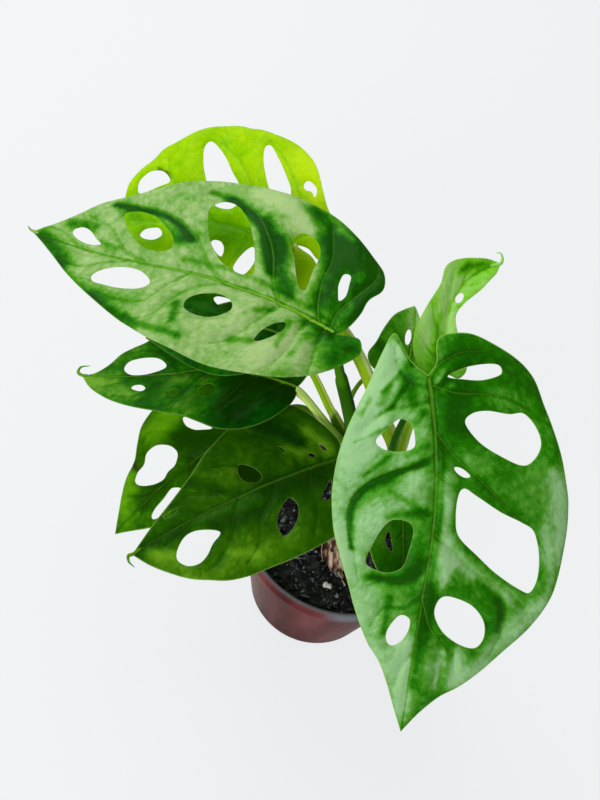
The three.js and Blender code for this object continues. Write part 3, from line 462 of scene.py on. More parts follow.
        foot=(21, -10, 141), length=58, heading=-73.5, rise=-22, roll=0,
        sag=(-2, -2), swing=(3, 2), fold=(-4, -4), cup=(-6, -6), wave=(1, 2, 0),
        left=((-1, 0), (-4, 6), (0, 13), (14, 18), (29, 17), (43, 11), (52, 4), (58, 0)),
        right=((-1, 0), (-4, 6), (0, 13), (14, 18), (29, 17), (43, 11), (52, 4), (58, 0)),
        holes=((24, -7, 10, 3, 10, 0, 1),),
        from_shoot=(15, 6, 98), stalk=((16, -1, 118), (18, -5, 133)),
        radius=(1.7, 1.0), palette=BOTTLE, painted_sheen=0.42, pucker=0.9, lime=(0.3, 0.3), spine=(0.4, 0.3),
        margin=0.7, wax=0.2,
        midrib=((0, 0), (58, 0)),
        veins=(
            ((6, 0), (10, 8), (18, 14)), ((20, 0), (28, 7), (36, 10)), ((36, 0), (42, 4), (48, 4)),
            ((6, 0), (10, -8), (18, -14)), ((20, 0), (28, -7), (36, -10)), ((36, 0), (42, -4), (48, -4)),
        ),
        strokes=((0.25, 5, (14, -10), (28, -12)),),
    ),
    "hidden_middle": dict(
        foot=(-62, 30, 180), length=80, heading=177.5, rise=0.5, roll=-10,
        sag=(24, 18), swing=(13, 10), fold=(4, 4), cup=(-6, -6), wave=(1.5, 2, 0),
        left=((-1, 0), (-4, 6), (-2, 16), (10, 27), (28, 32), (46, 28), (62, 17), (74, 6), (80, 0)),
        right=((-1, 0), (-4, 6), (-2, 14), (10, 22), (28, 25.5), (46, 22.5), (62, 14.5), (74, 5.5), (80, 0)),
        holes=((34, -11, 18, 6, -30, 0, 0),),
        from_shoot=(-12, 2, 142), stalk=((-19, 7, 150), (-29, 12, 158), (-44, 20, 171), (-54, 25, 177)),
        radius=(2.4, 1.6), wrap=(0.32, 0.25), palette=BOTTLE, painted_sheen=0.4, pucker=1.1, lime=(0.2, 0.2),
        spine=(0.6, 0.4), margin=0.2, wax=0.15,
        midrib=((0, 0), (80, 0)),
        veins=(
            ((6, 0), (10, 12), (20, 24)), ((22, 0), (30, 12), (42, 22)), ((42, 0), (50, 8), (60, 12)),
            ((6, 0), (10, -12), (20, -24)), ((22, 0), (30, -8), (44, -22)), ((42, 0), (50, -8), (60, -12)),
        ),
        strokes=((0.3, 8, (10, -16), (40, -20)), (-0.3, 8, (16, 14), (40, 14))),
    ),
}

# Greens of each petiole: the body, the painted highlight of its lit flank, the sheath, and the way that the
# painted highlight faces.
PETIOLE_SKINS = {
    "large_left": ((0.012, 0.12, 0.001), (0.07, 0.26, 0.004), (0.002, 0.06, 0.001), (-0.2, -0.6, 0.5)),
    "large_right": ((0.3, 0.54, 0.008), (0.54, 0.76, 0.08), (0.56, 0.5, 0.015), (1, -0.3, 0)),
    "top_back": ((0.38, 0.64, 0.006), (0.9, 0.96, 0.42), (0.32, 0.56, 0.006), (0.94, 0.27, 0.21)),
    "middle_left": ((0.34, 0.64, 0.012), (0.76, 0.95, 0.24), (0.2, 0.46, 0.008), (-0.3, -0.6, 0.7)),
    "low_front": ((0.19, 0.42, 0.016), (0.48, 0.72, 0.12), (0.12, 0.3, 0.008), (0, -0.4, 0.9)),
    "low_left": ((0.035, 0.13, 0.002), (0.38, 0.6, 0.07), (0.012, 0.09, 0.001), (-0.3, -0.3, 0.9)),
    "small_right": ((0.026, 0.16, 0.003), (0.16, 0.44, 0.018), (0.016, 0.12, 0.002), (1, 0, 0.3)),
    "small_back": ((0.05, 0.17, 0.002), (0.17, 0.36, 0.008), (0.03, 0.12, 0.002), (0, 0.3, 0.9)),
    "small_low": ((0.06, 0.18, 0.008), (0.2, 0.38, 0.04), (0.03, 0.12, 0.004), (1, 0, 0.3)),
    "hidden_middle": ((0.32, 0.58, 0.003), (0.76, 0.9, 0.18), (0.006, 0.09, 0.001), (0.94, 0.27, 0.21)),
}

# The dry sheath: torn, crumpled strips of one leaf base. Each has a foot, a heading, a rise, a length, a
# half width, how far it rolls up, and how pale it is.
SHEATH = (
    ((-2.5, -11.5, 85), -66, -28, 21, 4.6, 22, 0.05),
    ((-4.0, -11.5, 84), -80, -36, 15, 3.4, 35, -0.25),
    ((1.5, -13.5, 83.5), -58, -30, 18, 3.2, 35, 0.2),
    ((0.5, -11.5, 87.5), -100, -26, 11, 2.6, 40, -0.1),
    ((6.0, -27.3, 76.4), -22, -22, 5, 1.4, 20, 0.25),
    ((9.5, -30.0, 73.8), -41, -4, 4, 0.5, 10, 0.55),
)
SHEATH_HALF = 0.14  # half the thickness of a strip
# A strip's torn rim: shares of its length and of its half width.
TORN_RIM = (
    (0, 0.5), (0.04, 0.8), (0.16, 1), (0.3, 0.82), (0.42, 1.05), (0.58, 0.9), (0.7, 1.0), (0.82, 0.66),
    (0.9, 0.5), (1, 0))
SHEATH_THREADS = (
    ((-6.9, -16.6, 79.5), (-6, -20, 78), (-3.2, -23.6, 74)), ((3, -20, 80), (7, -23, 77), (9, -27, 74)),
)
THREAD = dict(radius=(0.3, 0.12), sides=6, tone=0.62, run=8)

CAMERA = dict(place=(-45.5, -337, 604), pitch=52, roll=20, lens=50, sensor=36)

# The stage, in metres. Each lamp has its place, its width and its tint, and faces LIT_POINT.
FLOOR_REACH = 2.5
FLOOR_Z = -0.0004
LIT_POINT = (0, 0, 0.15)
LAMPS = {
    "window_left": ((-0.94, 0.77, 1.34), 1.5, (1.0, 0.99, 0.97)),
    "window_front": ((-0.51, -1.45, 0.92), 1.0, (0.97, 0.99, 1.0)),
}


# --- curves and flat shapes ---


def resample(points, spacing):
    """Points at even steps along a path of straight stretches."""
    lengths = np.r_[0, np.cumsum(np.linalg.norm(np.diff(points, axis=0), axis=1))]
    count = max(2, round(lengths[-1] / spacing))
    at = np.linspace(0, lengths[-1], count + 1)
    return np.stack([np.interp(at, lengths, column) for column in points.T], 1)


def around(count):
    """Even angles once round."""
    return np.arange(count) / count * 2 * math.pi


def hermite(b, c, start, end):
    """Points from b up to c on a cubic with the given slopes at its ends."""
    t = np.linspace(0, 1, CURVE_STEPS, endpoint=False)[:, None]
    cubic = (2 * b - 2 * c + start + end) * t**3
    return cubic + (3 * c - 3 * b - 2 * start - end) * t**2 + start * t + b


def spline(points, spacing, closed=False):
    """A Catmull-Rom curve through points, with an even step."""
    known = [points[-1], *points, *points[:2]] if closed else [points[0], *points, points[-1]]
    known = np.array(known, float)
    fours = zip(known, known[1:], known[2:], known[3:])
    stretches = [hermite(b, c, (c - a) / 2, (d - b) / 2) for a, b, c, d in fours]
    return resample(np.vstack([*stretches, known[-2:-1]]), spacing)


def stem_curve(points, spacing):
    """A centripetal Catmull-Rom curve through points in space, which never loops at a short stretch."""
    inner = np.array(points, float)
    known = np.vstack([2 * inner[0] - inner[1], inner, 2 * inner[-1] - inner[-2]])
    stretches = []
    for a, b, c, d in zip(known, known[1:], known[2:], known[3:]):
        before, here, after = (math.sqrt(np.linalg.norm(q - p)) for p, q in ((a, b), (b, c), (c, d)))
        start = ((b - a) / before - (c - a) / (before + here) + (c - b) / here) * here
        end = ((c - b) / here - (d - b) / (here + after) + (d - c) / after) * here
        stretches.append(hermite(b, c, start, end))
    return resample(np.vstack([*stretches, inner[-1:]]), spacing)


def outline_loop(leaf, spacing):
    """The blade's rim, from the foot along the left half to the tip and back along the right half."""
    left = spline(leaf["left"], spacing)
    right = spline(leaf["right"], spacing) * (1, -1)
    return np.vstack([left, right[-2:0:-1]])


def hole_loop(hole, spacing):
    """A rounded shape through its corners, or an egg-shaped, slightly bent oval."""
    if isinstance(hole[0], tuple):
        return spline(hole, spacing, closed=True)[:-1]
    along, across, length, width, turn, egg, bend = hole
    count = max(8, round(math.pi * (length + width) / 2 / spacing))
    angle = around(count)
    x = length / 2 * np.cos(angle)
    y = width / 2 * np.sin(angle) * (1 + egg * np.cos(angle)) + bend * (np.cos(angle) ** 2 - 0.5)
    c, s = math.cos(math.radians(turn)), math.sin(math.radians(turn))
    return np.stack([along + c * x - s * y, across + s * x + c * y], 1)


def inside(points, loop):
    """Which flat points lie inside a closed loop."""
    x, y = points[:, :1], points[:, 1:]
    (ax, ay), (bx, by) = loop.T, np.roll(loop, 1, axis=0).T
    with np.errstate(divide="ignore", invalid="ignore"):
        crossing = ((ay > y) != (by > y)) & (x < (bx - ax) * (y - ay) / (by - ay) + ax)
    return crossing.sum(1) % 2 == 1


def on_blade(points, outline, holes):
    """Which flat points lie inside the rim and outside every hole."""
    keep = inside(points, outline)
    for hole in holes:
        keep &= ~inside(points, hole)
    return keep


def nearest(points, path):
    """How far each flat point lies from a path, and at which share of the path."""
    path = np.asarray(path, float)
    start, step = path[:-1], np.diff(path, axis=0)
    distances, shares = [], []
    for rows in np.array_split(points, max(1, len(points) // 1500)):
        share = (((rows[:, None] - start) * step).sum(2) / (step**2).sum(1)).clip(0, 1)
        gap = rows[:, None] - start - share[..., None] * step
        distance = np.hypot(gap[..., 0], gap[..., 1])
        best = distance.argmin(1)
        row = np.arange(len(rows))
        distances.append(distance[row, best])
        shares.append((best + share[row, best]) / len(step))
    return np.concatenate(distances), np.concatenate(shares)


def wobble(points, scale, seed=0.0):
    """Smooth noise from -1 to 1 at points, in millimetres, with lumps of about 1 / scale."""
    shift = Vector((seed, seed, seed))
    return np.array([noise.noise(Vector((*p, 0)[:3]) * scale + shift) for p in points.tolist()])


# --- the bent blade ---


class BladeForm:
    """Maps flat leaf coordinates, along the midrib and across to the left, into space."""

    def __init__(self, leaf):
        self.leaf = leaf
        heading, rise = math.radians(leaf["heading"]), math.radians(leaf["rise"])
        level = math.cos(rise)
        along = Vector((level * math.cos(heading), level * math.sin(heading), math.sin(rise)))
        left = Vector((-math.sin(heading), math.cos(heading), 0))
        turn = Matrix((along, left, along.cross(left))).transposed().to_quaternion()
        turn = Quaternion(along, math.radians(leaf["roll"])) @ turn
        point = Vector(leaf["foot"])
        points, turns = [point.copy()], [turn.to_matrix()]
        for step in range(MIDRIB_STEPS):
            half = int(step >= MIDRIB_STEPS / 2)
            bend = Vector((0, leaf["sag"][half], leaf["swing"][half])) * math.radians(2 / MIDRIB_STEPS)
            half_step = Quaternion(bend, bend.length / 2)
            turn = turn @ half_step
            point += turn @ Vector((leaf["length"] / MIDRIB_STEPS, 0, 0))
            turn = turn @ half_step
            points.append(point.copy())
            turns.append(turn.to_matrix())
        self.points, self.turns = np.array(points), np.array([list(map(list, m)) for m in turns])

    def place(self, flat):
        """Points in space, in millimetres."""
        leaf, (along, across) = self.leaf, flat.T
        step = (along / leaf["length"] * MIDRIB_STEPS).clip(0, MIDRIB_STEPS)
        index = np.minimum(step.astype(int), MIDRIB_STEPS - 1)
        part = (step - index)[:, None]
        centre = self.points[index] * (1 - part) + self.points[index + 1] * part
        turn = self.turns[index] * (1 - part[:, None]) + self.turns[index + 1] * part[:, None]
        right = across < 0
        out = np.abs(across)
        fold, curl = (np.radians(np.where(right, leaf[key][1], leaf[key][0])) for key in ("fold", "cup"))
        curl = curl / REACH
        reach = (np.sin(fold + curl * out) - np.sin(fold)) / curl
        height, count, phase = leaf["wave"]
        ripple = np.sin(2 * np.pi * count * along / leaf["length"] + math.radians(phase) + right * np.pi / 2)
        lift = (np.cos(fold) - np.cos(fold + curl * out)) / curl + height * (out / REACH) ** 2 * ripple
        past = along - step / MIDRIB_STEPS * leaf["length"]
        local = np.stack([past, np.where(right, -reach, reach), lift], 1)
        return centre + np.einsum("nij,nj->ni", turn, local)

    def normals(self, flat):
        """The upward way at each point, out of short steps to its sides."""
        step = 0.5
        lengthwise = self.place(flat + (step, 0)) - self.place(flat - (step, 0))
        crosswise = self.place(flat + (0, step)) - self.place(flat - (0, step))
        normal = np.cross(lengthwise, crosswise)
        return normal / np.linalg.norm(normal, axis=1)[:, None]


def flat_mesh(leaf, spacing, lines):
    """Points and triangles that fill the blade between its rim and its holes."""
    outline = outline_loop(leaf, spacing)
    holes = [hole_loop(hole, spacing * 0.8) for hole in leaf["holes"]]
    points, edges = [], []
    for loop in [outline, *holes]:
        first, count = len(points), len(loop)
        points += loop.tolist()
        edges += [(first + i, first + (i + 1) % count) for i in range(count)]
    rim = np.array(points)
    low, high = outline.min(0), outline.max(0)
    row = spacing * math.sqrt(3) / 2
    j, i = np.mgrid[0:int((high[1] - low[1]) / row) + 1, 0:int((high[0] - low[0]) / spacing) + 1]
    grid = np.stack([low[0] + (i + j % 2 / 2) * spacing, low[1] + j * row], -1).reshape(-1, 2)
    along_lines = np.vstack([resample(np.array(line, float), spacing) for line in lines])
    for extra, clear in ((along_lines, 0.5), (grid, 0.55)):
        extra = extra[on_blade(extra, outline, holes)]
        others = rim if extra is along_lines else np.array(points)
        spaced = [
            np.hypot(*(rows[:, None] - others).transpose(2, 0, 1)).min(1) > clear * spacing
            for rows in np.array_split(extra, max(1, len(extra) // 500))
        ]
        points += extra[np.concatenate(spaced)].tolist()
    made = delaunay_2d_cdt([Vector(p) for p in points], edges, [], 0, 1e-5)
    points = np.array([tuple(p) for p in made[0]])
    triangles = np.array(made[2])
    triangles = triangles[on_blade(points[triangles].mean(1), outline, holes)]
    a, b, c = (points[triangles[:, k]] for k in range(3))
    area = (b[:, 0] - a[:, 0]) * (c[:, 1] - a[:, 1]) - (b[:, 1] - a[:, 1]) * (c[:, 0] - a[:, 0])
    triangles[area < 0] = triangles[area < 0][:, ::-1]
    triangles = triangles[np.abs(area) > SLIVER]
    loops = [np.vstack([loop, loop[:1]]) for loop in [outline, *holes]]
    return points, triangles, loops


def free_edges(triangles):
    """Edges that only one triangle has, each in that triangle's direction."""
    edges = {(int(t[k]), int(t[(k + 1) % 3])) for t in triangles for k in range(3)}
    return [edge for edge in edges if edge[::-1] not in edges]


# --- pieces ---


def write_marks(mesh, marks):
    """Stores numbers or vectors by point, for the materials to read."""
    for key, values in marks.items():
        values = np.asarray(values, np.float32)
        vector = values.ndim == 2
        made = mesh.attributes.new(key, "FLOAT_VECTOR" if vector else "FLOAT", "POINT")
        made.data.foreach_set("vector" if vector else "value", values.ravel())


def add_piece(name, points, faces, finishes, nodes, attributes=None, face_finish=None, sharp=()):
    """A mesh object, given in millimetres, that rides on the frame in place of its nodes."""
    mesh = bpy.data.meshes.new(name)
    mesh.from_pydata((np.asarray(points) * MM).tolist(), [], [tuple(face) for face in faces])
    mesh.polygons.foreach_set("use_smooth", [True] * len(mesh.polygons))
    for finish in finishes:
        mesh.materials.append(finish)
    if face_finish is not None:
        mesh.polygons.foreach_set("material_index", np.asarray(face_finish, np.int32))
    write_marks(mesh, attributes or {})
    if sharp:
        sharp = {frozenset(edge) for edge in sharp}
        flags = [frozenset(edge.vertices) in sharp for edge in mesh.edges]
        mesh.attributes.new("sharp_edge", "BOOLEAN", "EDGE").data.foreach_set("value", flags)
    mesh.update()
    piece = bpy.data.objects.new(name, mesh)
    bpy.context.collection.objects.link(piece)
    if nodes:
        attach(piece, BODY)
        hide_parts(*nodes)
    return piece


def joined(parts):
    """The points and the faces of several parts, as one."""
    faces, first = [], 0
    for points, part_faces in parts:
        faces += [tuple(corner + first for corner in face) for face in part_faces]
        first += len(points)
    return np.vstack([points for points, _ in parts]), faces


def unit_ball(subdivisions):
    """Points and faces of a ball with a radius of 1."""
    ball = bmesh.new()
    bmesh.ops.create_icosphere(ball, subdivisions=subdivisions, radius=1)
    points = np.array([v.co for v in ball.verts])
    faces = [[v.index for v in face.verts] for face in ball.faces]
    ball.free()
    return points, faces


def shell_faces(rows, sides):
    """Faces over rings of points between a first and a last single point, seen from outside when the
    rings run up the outer wall."""
    def at(row, k):
        return 1 + row * sides + k % sides

    faces = [(0, at(0, k + 1), at(0, k)) for k in range(sides)]
    faces += [
        (at(row, k), at(row, k + 1), at(row + 1, k + 1), at(row + 1, k))
        for row in range(rows - 1) for k in range(sides)
    ]
    return faces + [(at(rows, 0), at(rows - 1, k), at(rows - 1, k + 1)) for k in range(sides)]


def stalk_flat(shares, run, sides, radius):
    """Coordinates for streaks along a tube: along it, and round it on a circle of that radius."""
    angles = np.r_[np.tile(around(sides), len(shares) // sides), 0, 0]
    return angles, np.c_[shares * run, radius * np.cos(angles), radius * np.sin(angles)]


def tube(path, radii, sides, shape=None):
    """Points, faces, tangent share and outward way of a tube along a path. shape scales the radius at
    (share along the path, angle), with angle 0 on the upper side. The ends are closed by a short dome."""
    path = np.asarray(path, float)
    tangents = np.gradient(path, axis=0)
    tangents /= np.linalg.norm(tangents, axis=1)[:, None]
    up = np.array([0, 0, 1.0]) if abs(tangents[0][2]) < 0.9 else np.array([0, 1.0, 0])
    angles = around(sides)
    points, ways, shares = [], [], []
    count = len(path)
    for i, (centre, tangent) in enumerate(zip(path, tangents)):
        up = up - tangent * (up @ tangent)
        up /= np.linalg.norm(up)
        side = np.cross(tangent, up)
        share = i / (count - 1)
        way = np.cos(angles)[:, None] * up + np.sin(angles)[:, None] * side
        scale = np.array([shape(share, angle) for angle in angles]) if shape else np.ones(sides)
        points.append(centre + way * (radii[i] * scale)[:, None])
        ways.append(way)
        shares.append(np.full(sides, share))
    faces = [
        (i * sides + k, i * sides + (k + 1) % sides, (i + 1) * sides + (k + 1) % sides, (i + 1) * sides + k)
        for i in range(count - 1) for k in range(sides)
    ]
    points, ways, shares = np.vstack(points), np.vstack(ways), np.concatenate(shares)
    for i, sign in ((0, -1), (count - 1, 1)):
        tip = len(points)
        points = np.vstack([points, path[i] + sign * tangents[i] * radii[i] * 0.5])
        ways = np.vstack([ways, sign * tangents[i]])
        shares = np.r_[shares, share if sign > 0 else 0]
        for k in range(sides):
            pair = (i * sides + k, i * sides + (k + 1) % sides)
            faces.append((tip, *(pair if sign > 0 else pair[::-1])))
    return points, faces, shares, ways


# --- finishes ---


class Value:
    """A number in a material, held as a node's socket, that Python arithmetic works on."""

    def __init__(self, finish, socket):
        self.finish, self.socket = finish, socket

    def math(self, operation, first, second):
        return self.finish.node("Math", {"operation": operation}, {0: first, 1: second})

    def __add__(self, other):
        return self.math("ADD", self, other)

    def __sub__(self, other):
        return self.math("SUBTRACT", self, other)

    def __rsub__(self, other):
        return self.math("SUBTRACT", other, self)

    def __mul__(self, other):
        return self.math("MULTIPLY", self, other)

    __radd__, __rmul__ = __add__, __mul__


class Finish:
    """A material while it is put together."""

    def __init__(self, name):
        self.material = bpy.data.materials.new(name)
        self.material.use_nodes = True
        self.tree = self.material.node_tree
        self.tree.nodes.clear()

    def node(self, kind, settings=None, sockets=None, output=0):
        """Adds a node: its settings first, then the values or links of its sockets."""
        made = self.tree.nodes.new("ShaderNode" + kind)
        for key, value in (settings or {}).items():
            if key == "stops":
                ramp = made.color_ramp
                for place, _ in value[2:]:
                    ramp.elements.new(place)
                for element, (place, colour) in zip(ramp.elements, value):
                    element.position, element.color = place, (*colour, 1)
            else:
                setattr(made, key, value)
        for key, value in (sockets or {}).items():
            socket = made.inputs[key]
            if isinstance(value, Value):
                self.tree.links.new(value.socket, socket)
            elif socket.type == "RGBA":
                socket.default_value = (*value[:3], 1)
            else:
                socket.default_value = value
        return None if output is None else Value(self, made.outputs[output])

    def attribute(self, name):
        return self.node("Attribute", {"attribute_name": name}, output="Fac")

    def vector(self, name, scale=(1, 1, 1)):
        where = self.node("Attribute", {"attribute_name": name}, output="Vector")
        return self.node("VectorMath", {"operation": "MULTIPLY"}, {0: where, 1: scale})

    def position(self):
        return self.node("TexCoord", output="Object")

    def noise(self, where, scale, detail=3.0, rough=0.5):
        sockets = {"Vector": where, "Scale": scale, "Detail": detail, "Roughness": rough}
        return self.node("TexNoise", None, sockets)

    def cells(self, where, scale, feature="DISTANCE_TO_EDGE"):
        return self.node("TexVoronoi", {"feature": feature}, {"Vector": where, "Scale": scale})

    def between(self, value, low, high):
        """0 below low, 1 above high, and smooth between them."""
        settings = {"interpolation_type": "SMOOTHSTEP"}
        return self.node("MapRange", settings, {0: value, 1: low, 2: high, 3: 0.0, 4: 1.0})

    def ramp(self, value, *stops):
        return self.node("ValToRGB", {"stops": stops}, {0: value})

    def mix(self, mask, first, second):
        return self.node("Mix", {"data_type": "RGBA"}, {0: mask, 6: first, 7: second}, output=2)

    def skin(self, colour, roughness, height=None, depth=0.3, through=0.0, through_colour=None, **constants):
        """The surface: a Principled shader, with a bump of that depth in millimetres, and the share of
        light that comes through."""
        sockets = {"Base Color": colour, "Roughness": roughness}
        sockets.update({key.replace("_", " "): value for key, value in constants.items()})
        if height is not None:
            bump = {"Strength": 1.0, "Distance": depth * MM, "Height": height}
            sockets["Normal"] = self.node("Bump", None, bump)
        surface = self.node("BsdfPrincipled", None, sockets)
        if through:
            glow = self.node("BsdfTranslucent", None, {"Color": through_colour})
            surface = self.node("MixShader", None, {0: through, 1: surface, 2: glow})
        self.node("OutputMaterial", None, {"Surface": surface}, output=None)
        return self.material


def blade_lines(finish, leaf):
    """Masks of the side veins, the midrib and the rim's thin line."""
    near, rib, rim = (finish.attribute(key) for key in ("near", "rib", "rim"))
    vein = (1 - finish.between(near, 0.5, 1.2)) * finish.attribute("lime")
    midrib = (1 - finish.between(rib, 0.7, 1.1)) * finish.attribute("spine")
    edge = (1 - finish.between(rim, 0.2, 0.6)) * leaf["margin"]
    return vein, midrib, edge


def blade_top(name, leaf, look):
    """Waxy upper skin with painted light: painted shade in the creases, painted highlights on the swellings
    and a pale painted sheen.
    """
    finish = Finish(f"{name}_top")
    flat, grain = finish.vector("flat"), finish.vector("grain")
    vein, midrib, edge = blade_lines(finish, leaf)
    mottle = finish.noise(flat, scale=0.06, detail=4) - 0.5
    patch = finish.noise(flat, scale=0.22, detail=4, rough=0.62) - 0.5
    fleck = finish.noise(flat, scale=0.8, detail=3) - 0.5
    streak = finish.noise(finish.vector("grain", (0.75, 0.08, 1)), scale=1.0, detail=4, rough=0.6) - 0.5
    # Small quilted swellings between the finest veins: a bump, and a painted highlight on each swelling.
    quilt = finish.between(finish.cells(grain, 0.2), 0.0, 0.35) - 0.5
    # Painted shade along the sunken side veins and in the midrib's groove.
    painted_vein_shade = 1 - finish.between(finish.attribute("near"), 0.8, 4.5)
    painted_midrib_shade = 1 - finish.between(finish.attribute("rib"), 0.9, 2.6)
    pale = finish.attribute("tone") + mottle * 0.5 + patch * 0.6 + fleck * 0.22 + streak * 0.1 + quilt * 0.1
    pale = pale - painted_vein_shade * 0.16 - painted_midrib_shade * 0.3
    # The ramp runs from deep green, the painted shade, up to the pale painted sheen.
    deep, green, bright, painted_sheen = leaf["palette"]
    colour = finish.ramp(pale, (0.05, deep), (0.31, green), (0.56, bright), (0.95, painted_sheen))
    colour = finish.mix(vein, colour, look.lime)
    colour = finish.mix(midrib, colour, look.lime)
    colour = finish.mix(edge, colour, look.margin)
    colour = finish.mix(finish.attribute("scar"), colour, look.scar)
    dust = finish.between(finish.noise(flat, scale=1.5, detail=2), 0.74, 0.8)
    colour = finish.mix(dust * 0.35, colour, look.dust)
    height = fleck * 0.6 + streak * 0.2 + patch * 1.4 + quilt * 0.6
    through = look.young_glow if leaf["palette"] is LIMELIGHT else look.glow
    return finish.skin(
        colour, 0.32 + mottle * 0.15, height, 0.2, through, look.glow_colour, Specular_IOR_Level=leaf["wax"],
        Specular_Tint=look.gloss)


def blade_under(name, leaf, look):
    """Matt underside: paler, with raised pale veins."""
    finish = Finish(f"{name}_under")
    flat = finish.vector("flat")
    vein, midrib, edge = blade_lines(finish, leaf)
    ridge = 1 - finish.between(finish.attribute("near"), 0.7, 2.0)
    mottle = finish.noise(flat, scale=0.09, detail=4) - 0.5
    patch = finish.noise(flat, scale=0.3, detail=4, rough=0.6) - 0.5
    net = 1 - finish.between(finish.cells(finish.vector("grain"), 0.2), 0.0, 0.08)
    _, green, bright, painted_sheen = leaf["palette"]
    # The underside's mottle reaches up to the painted sheen's pale green, here as plain random paleness.
    colour = finish.ramp(mottle * 0.9 + patch * 0.6 + 0.5, (0.1, green), (0.5, bright), (1.0, painted_sheen))
    colour = finish.mix(0.3 + net * 0.25, colour, look.underside)
    colour = finish.mix(vein + midrib + ridge * 0.35, colour, look.lime)
    colour = finish.mix(edge, colour, look.margin)
    colour = finish.mix(finish.attribute("scar"), colour, look.scar)
    through = look.young_glow if leaf["palette"] is LIMELIGHT else look.glow
    return finish.skin(
        colour, 0.5, net * 0.5 + mottle, 0.2, through, look.glow_colour, Specular_IOR_Level=0.25)


def petiole_skin(name, colours, look):
    """Smooth stalk skin with lengthwise streaks, a painted highlight down one flank and a sheath of its own
    green.
    """
    finish = Finish(f"petiole_{name}")
    body, flank, sheath, _ = colours
    streak = finish.noise(finish.vector("flat", (0.05, 1.4, 1)), scale=1.0, detail=4) - 0.5
    speck = finish.noise(finish.vector("flat"), scale=0.8, detail=3) - 0.5
    # side: the painted highlight on the flank that faces the chosen way.
    side = finish.between(finish.attribute("flank") + streak * 0.3, 0.15, 0.6)
    wrapped = finish.attribute("sheath")
    colour = finish.mix(side, body, flank)
    colour = finish.mix(wrapped * (0.9 - side * 0.35), colour, sheath)
    colour = finish.mix(finish.attribute("hem"), colour, flank)
    deep = tuple(c * 0.5 for c in body)
    colour = finish.mix(finish.between(streak * -1, 0.05, 0.3) * 0.5, colour, deep)
    return finish.skin(
        colour, 0.34 + speck * 0.2, streak + speck * 0.4, 0.12, 0.2, flank, Specular_IOR_Level=0.1,
        Specular_Tint=look.gloss)


def shoot_skin(look):
    """Green bark with brown rings where old leaves sat, and brown near the soil."""
    finish = Finish("shoot_skin")
    streak = finish.noise(finish.vector("flat", (0.08, 1.2, 1)), scale=1.0, detail=4) - 0.5
    speck = finish.noise(finish.vector("flat"), scale=0.5, detail=4) - 0.5
    colour = finish.mix(finish.between(streak, -0.15, 0.2), look.body, look.body_light)
    brown = finish.attribute("ring") + speck * 0.7
    colour = finish.mix(finish.between(brown, 0.25, 0.8), colour, look.scar)
    return finish.skin(colour, 0.5 + speck * 0.3, streak + speck, 0.3)


def pot_plastic(look):
    """Thin moulded plastic, dusky rose and glossy, with faint scuffs, a cloudy inner wall, painted reflection
    streaks and a painted rim highlight.
    """
    finish = Finish("pot_plastic")
    where = finish.position()
    cloud = finish.noise(where, scale=22, detail=3) - 0.5
    # Soft streaks down the wall are painted reflections, in the plastic's shade and light tints.
    painted_reflection_streaks = finish.noise(finish.vector("around", (0.07, 0.07, 0.008)), scale=1.0, detail=1) - 0.5
    worn = finish.noise(finish.vector("around", (0.5, 0.5, 3)), scale=1.0, detail=5)
    scuff = finish.between(worn, 0.6, 0.8)
    tint = cloud * 0.35 + painted_reflection_streaks * 1.2 + 0.38
    colour = finish.ramp(tint, (0.2, look.shade), (0.5, look.body), (0.8, look.light))
    # The band's blue-grey is a painted reflection on the rim band, and the lip's grey a painted highlight.
    colour = finish.mix(finish.attribute("band"), colour, look.band)
    colour = finish.mix(finish.attribute("lip") * 0.8, colour, look.lip)
    colour = finish.mix(finish.attribute("dust") * 0.8, colour, look.dust)
    roughness = 0.24 + scuff * 0.12 + finish.attribute("dust") * 0.5
    return finish.skin(
        colour, roughness, scuff * 0.3 + cloud, 0.1, Specular_IOR_Level=0.03, Specular_Tint=look.gloss)


def soil_mix(look):
    """Black potting mix: peat, grit and bark crumbs, each crumb with its own shade."""
    finish = Finish("soil_mix")
    where = finish.position()
    grit = finish.noise(where, scale=900, detail=4) - 0.5
    crumb = finish.attribute("crumb")
    shade = crumb + grit * 0.4
    colour = finish.ramp(shade, (0.15, look.peat), (0.5, look.bark), (0.78, look.stone), (0.95, look.chaff))
    roughness = 0.42 + grit * 0.4
    height = grit + finish.noise(where, scale=300, detail=4)
    return finish.skin(colour, roughness, height, 0.35, Specular_IOR_Level=0.4)


def perlite_stone(look):
    """White expanded glass grit, with fine pores and soil in its hollows."""
    finish = Finish("perlite_stone")
    where = finish.position()
    pores = finish.cells(where, 1500, "F1")
    stain = finish.between(finish.noise(where, scale=500, detail=4), 0.5, 0.72)
    colour = finish.mix(stain * 0.7, look.perlite, look.perlite_stain)
    return finish.skin(colour, 0.85, pores, 0.25, 0.15, look.perlite)


def sheath_paper(look):
    """Dry leaf sheath: brittle fibres, tan and straw, with painted highlights on its crests and painted shade
    in its hollows.
    """
    finish = Finish("sheath_paper")
    fibre = finish.noise(finish.vector("flat", (0.14, 0.9, 1)), scale=1.0, detail=4) - 0.5
    blotch = finish.noise(finish.vector("flat"), scale=0.3, detail=3) - 0.5
    pale = finish.attribute("tone") + fibre * 0.4 + blotch * 0.9
    colour = finish.ramp(pale, (0.1, look.umber), (0.42, look.tan), (0.8, look.straw))
    return finish.skin(colour, 0.72, fibre + blotch * 0.4, 0.4, 0.1, look.straw, Specular_IOR_Level=0.2)


# --- settings ---


def length(name, description, default):
    """A setting in metres."""
    return FloatProperty(name=name, description=description, default=default, min=0, unit="LENGTH")


def colour(name, description, default):
    """A setting for a linear colour."""
    return FloatVectorProperty(
        name=name, description=description, default=default, subtype="COLOR", size=3, min=0, max=1)


def number(name, description, default):
    """A setting for a plain number."""
    return FloatProperty(name=name, description=description, default=default)


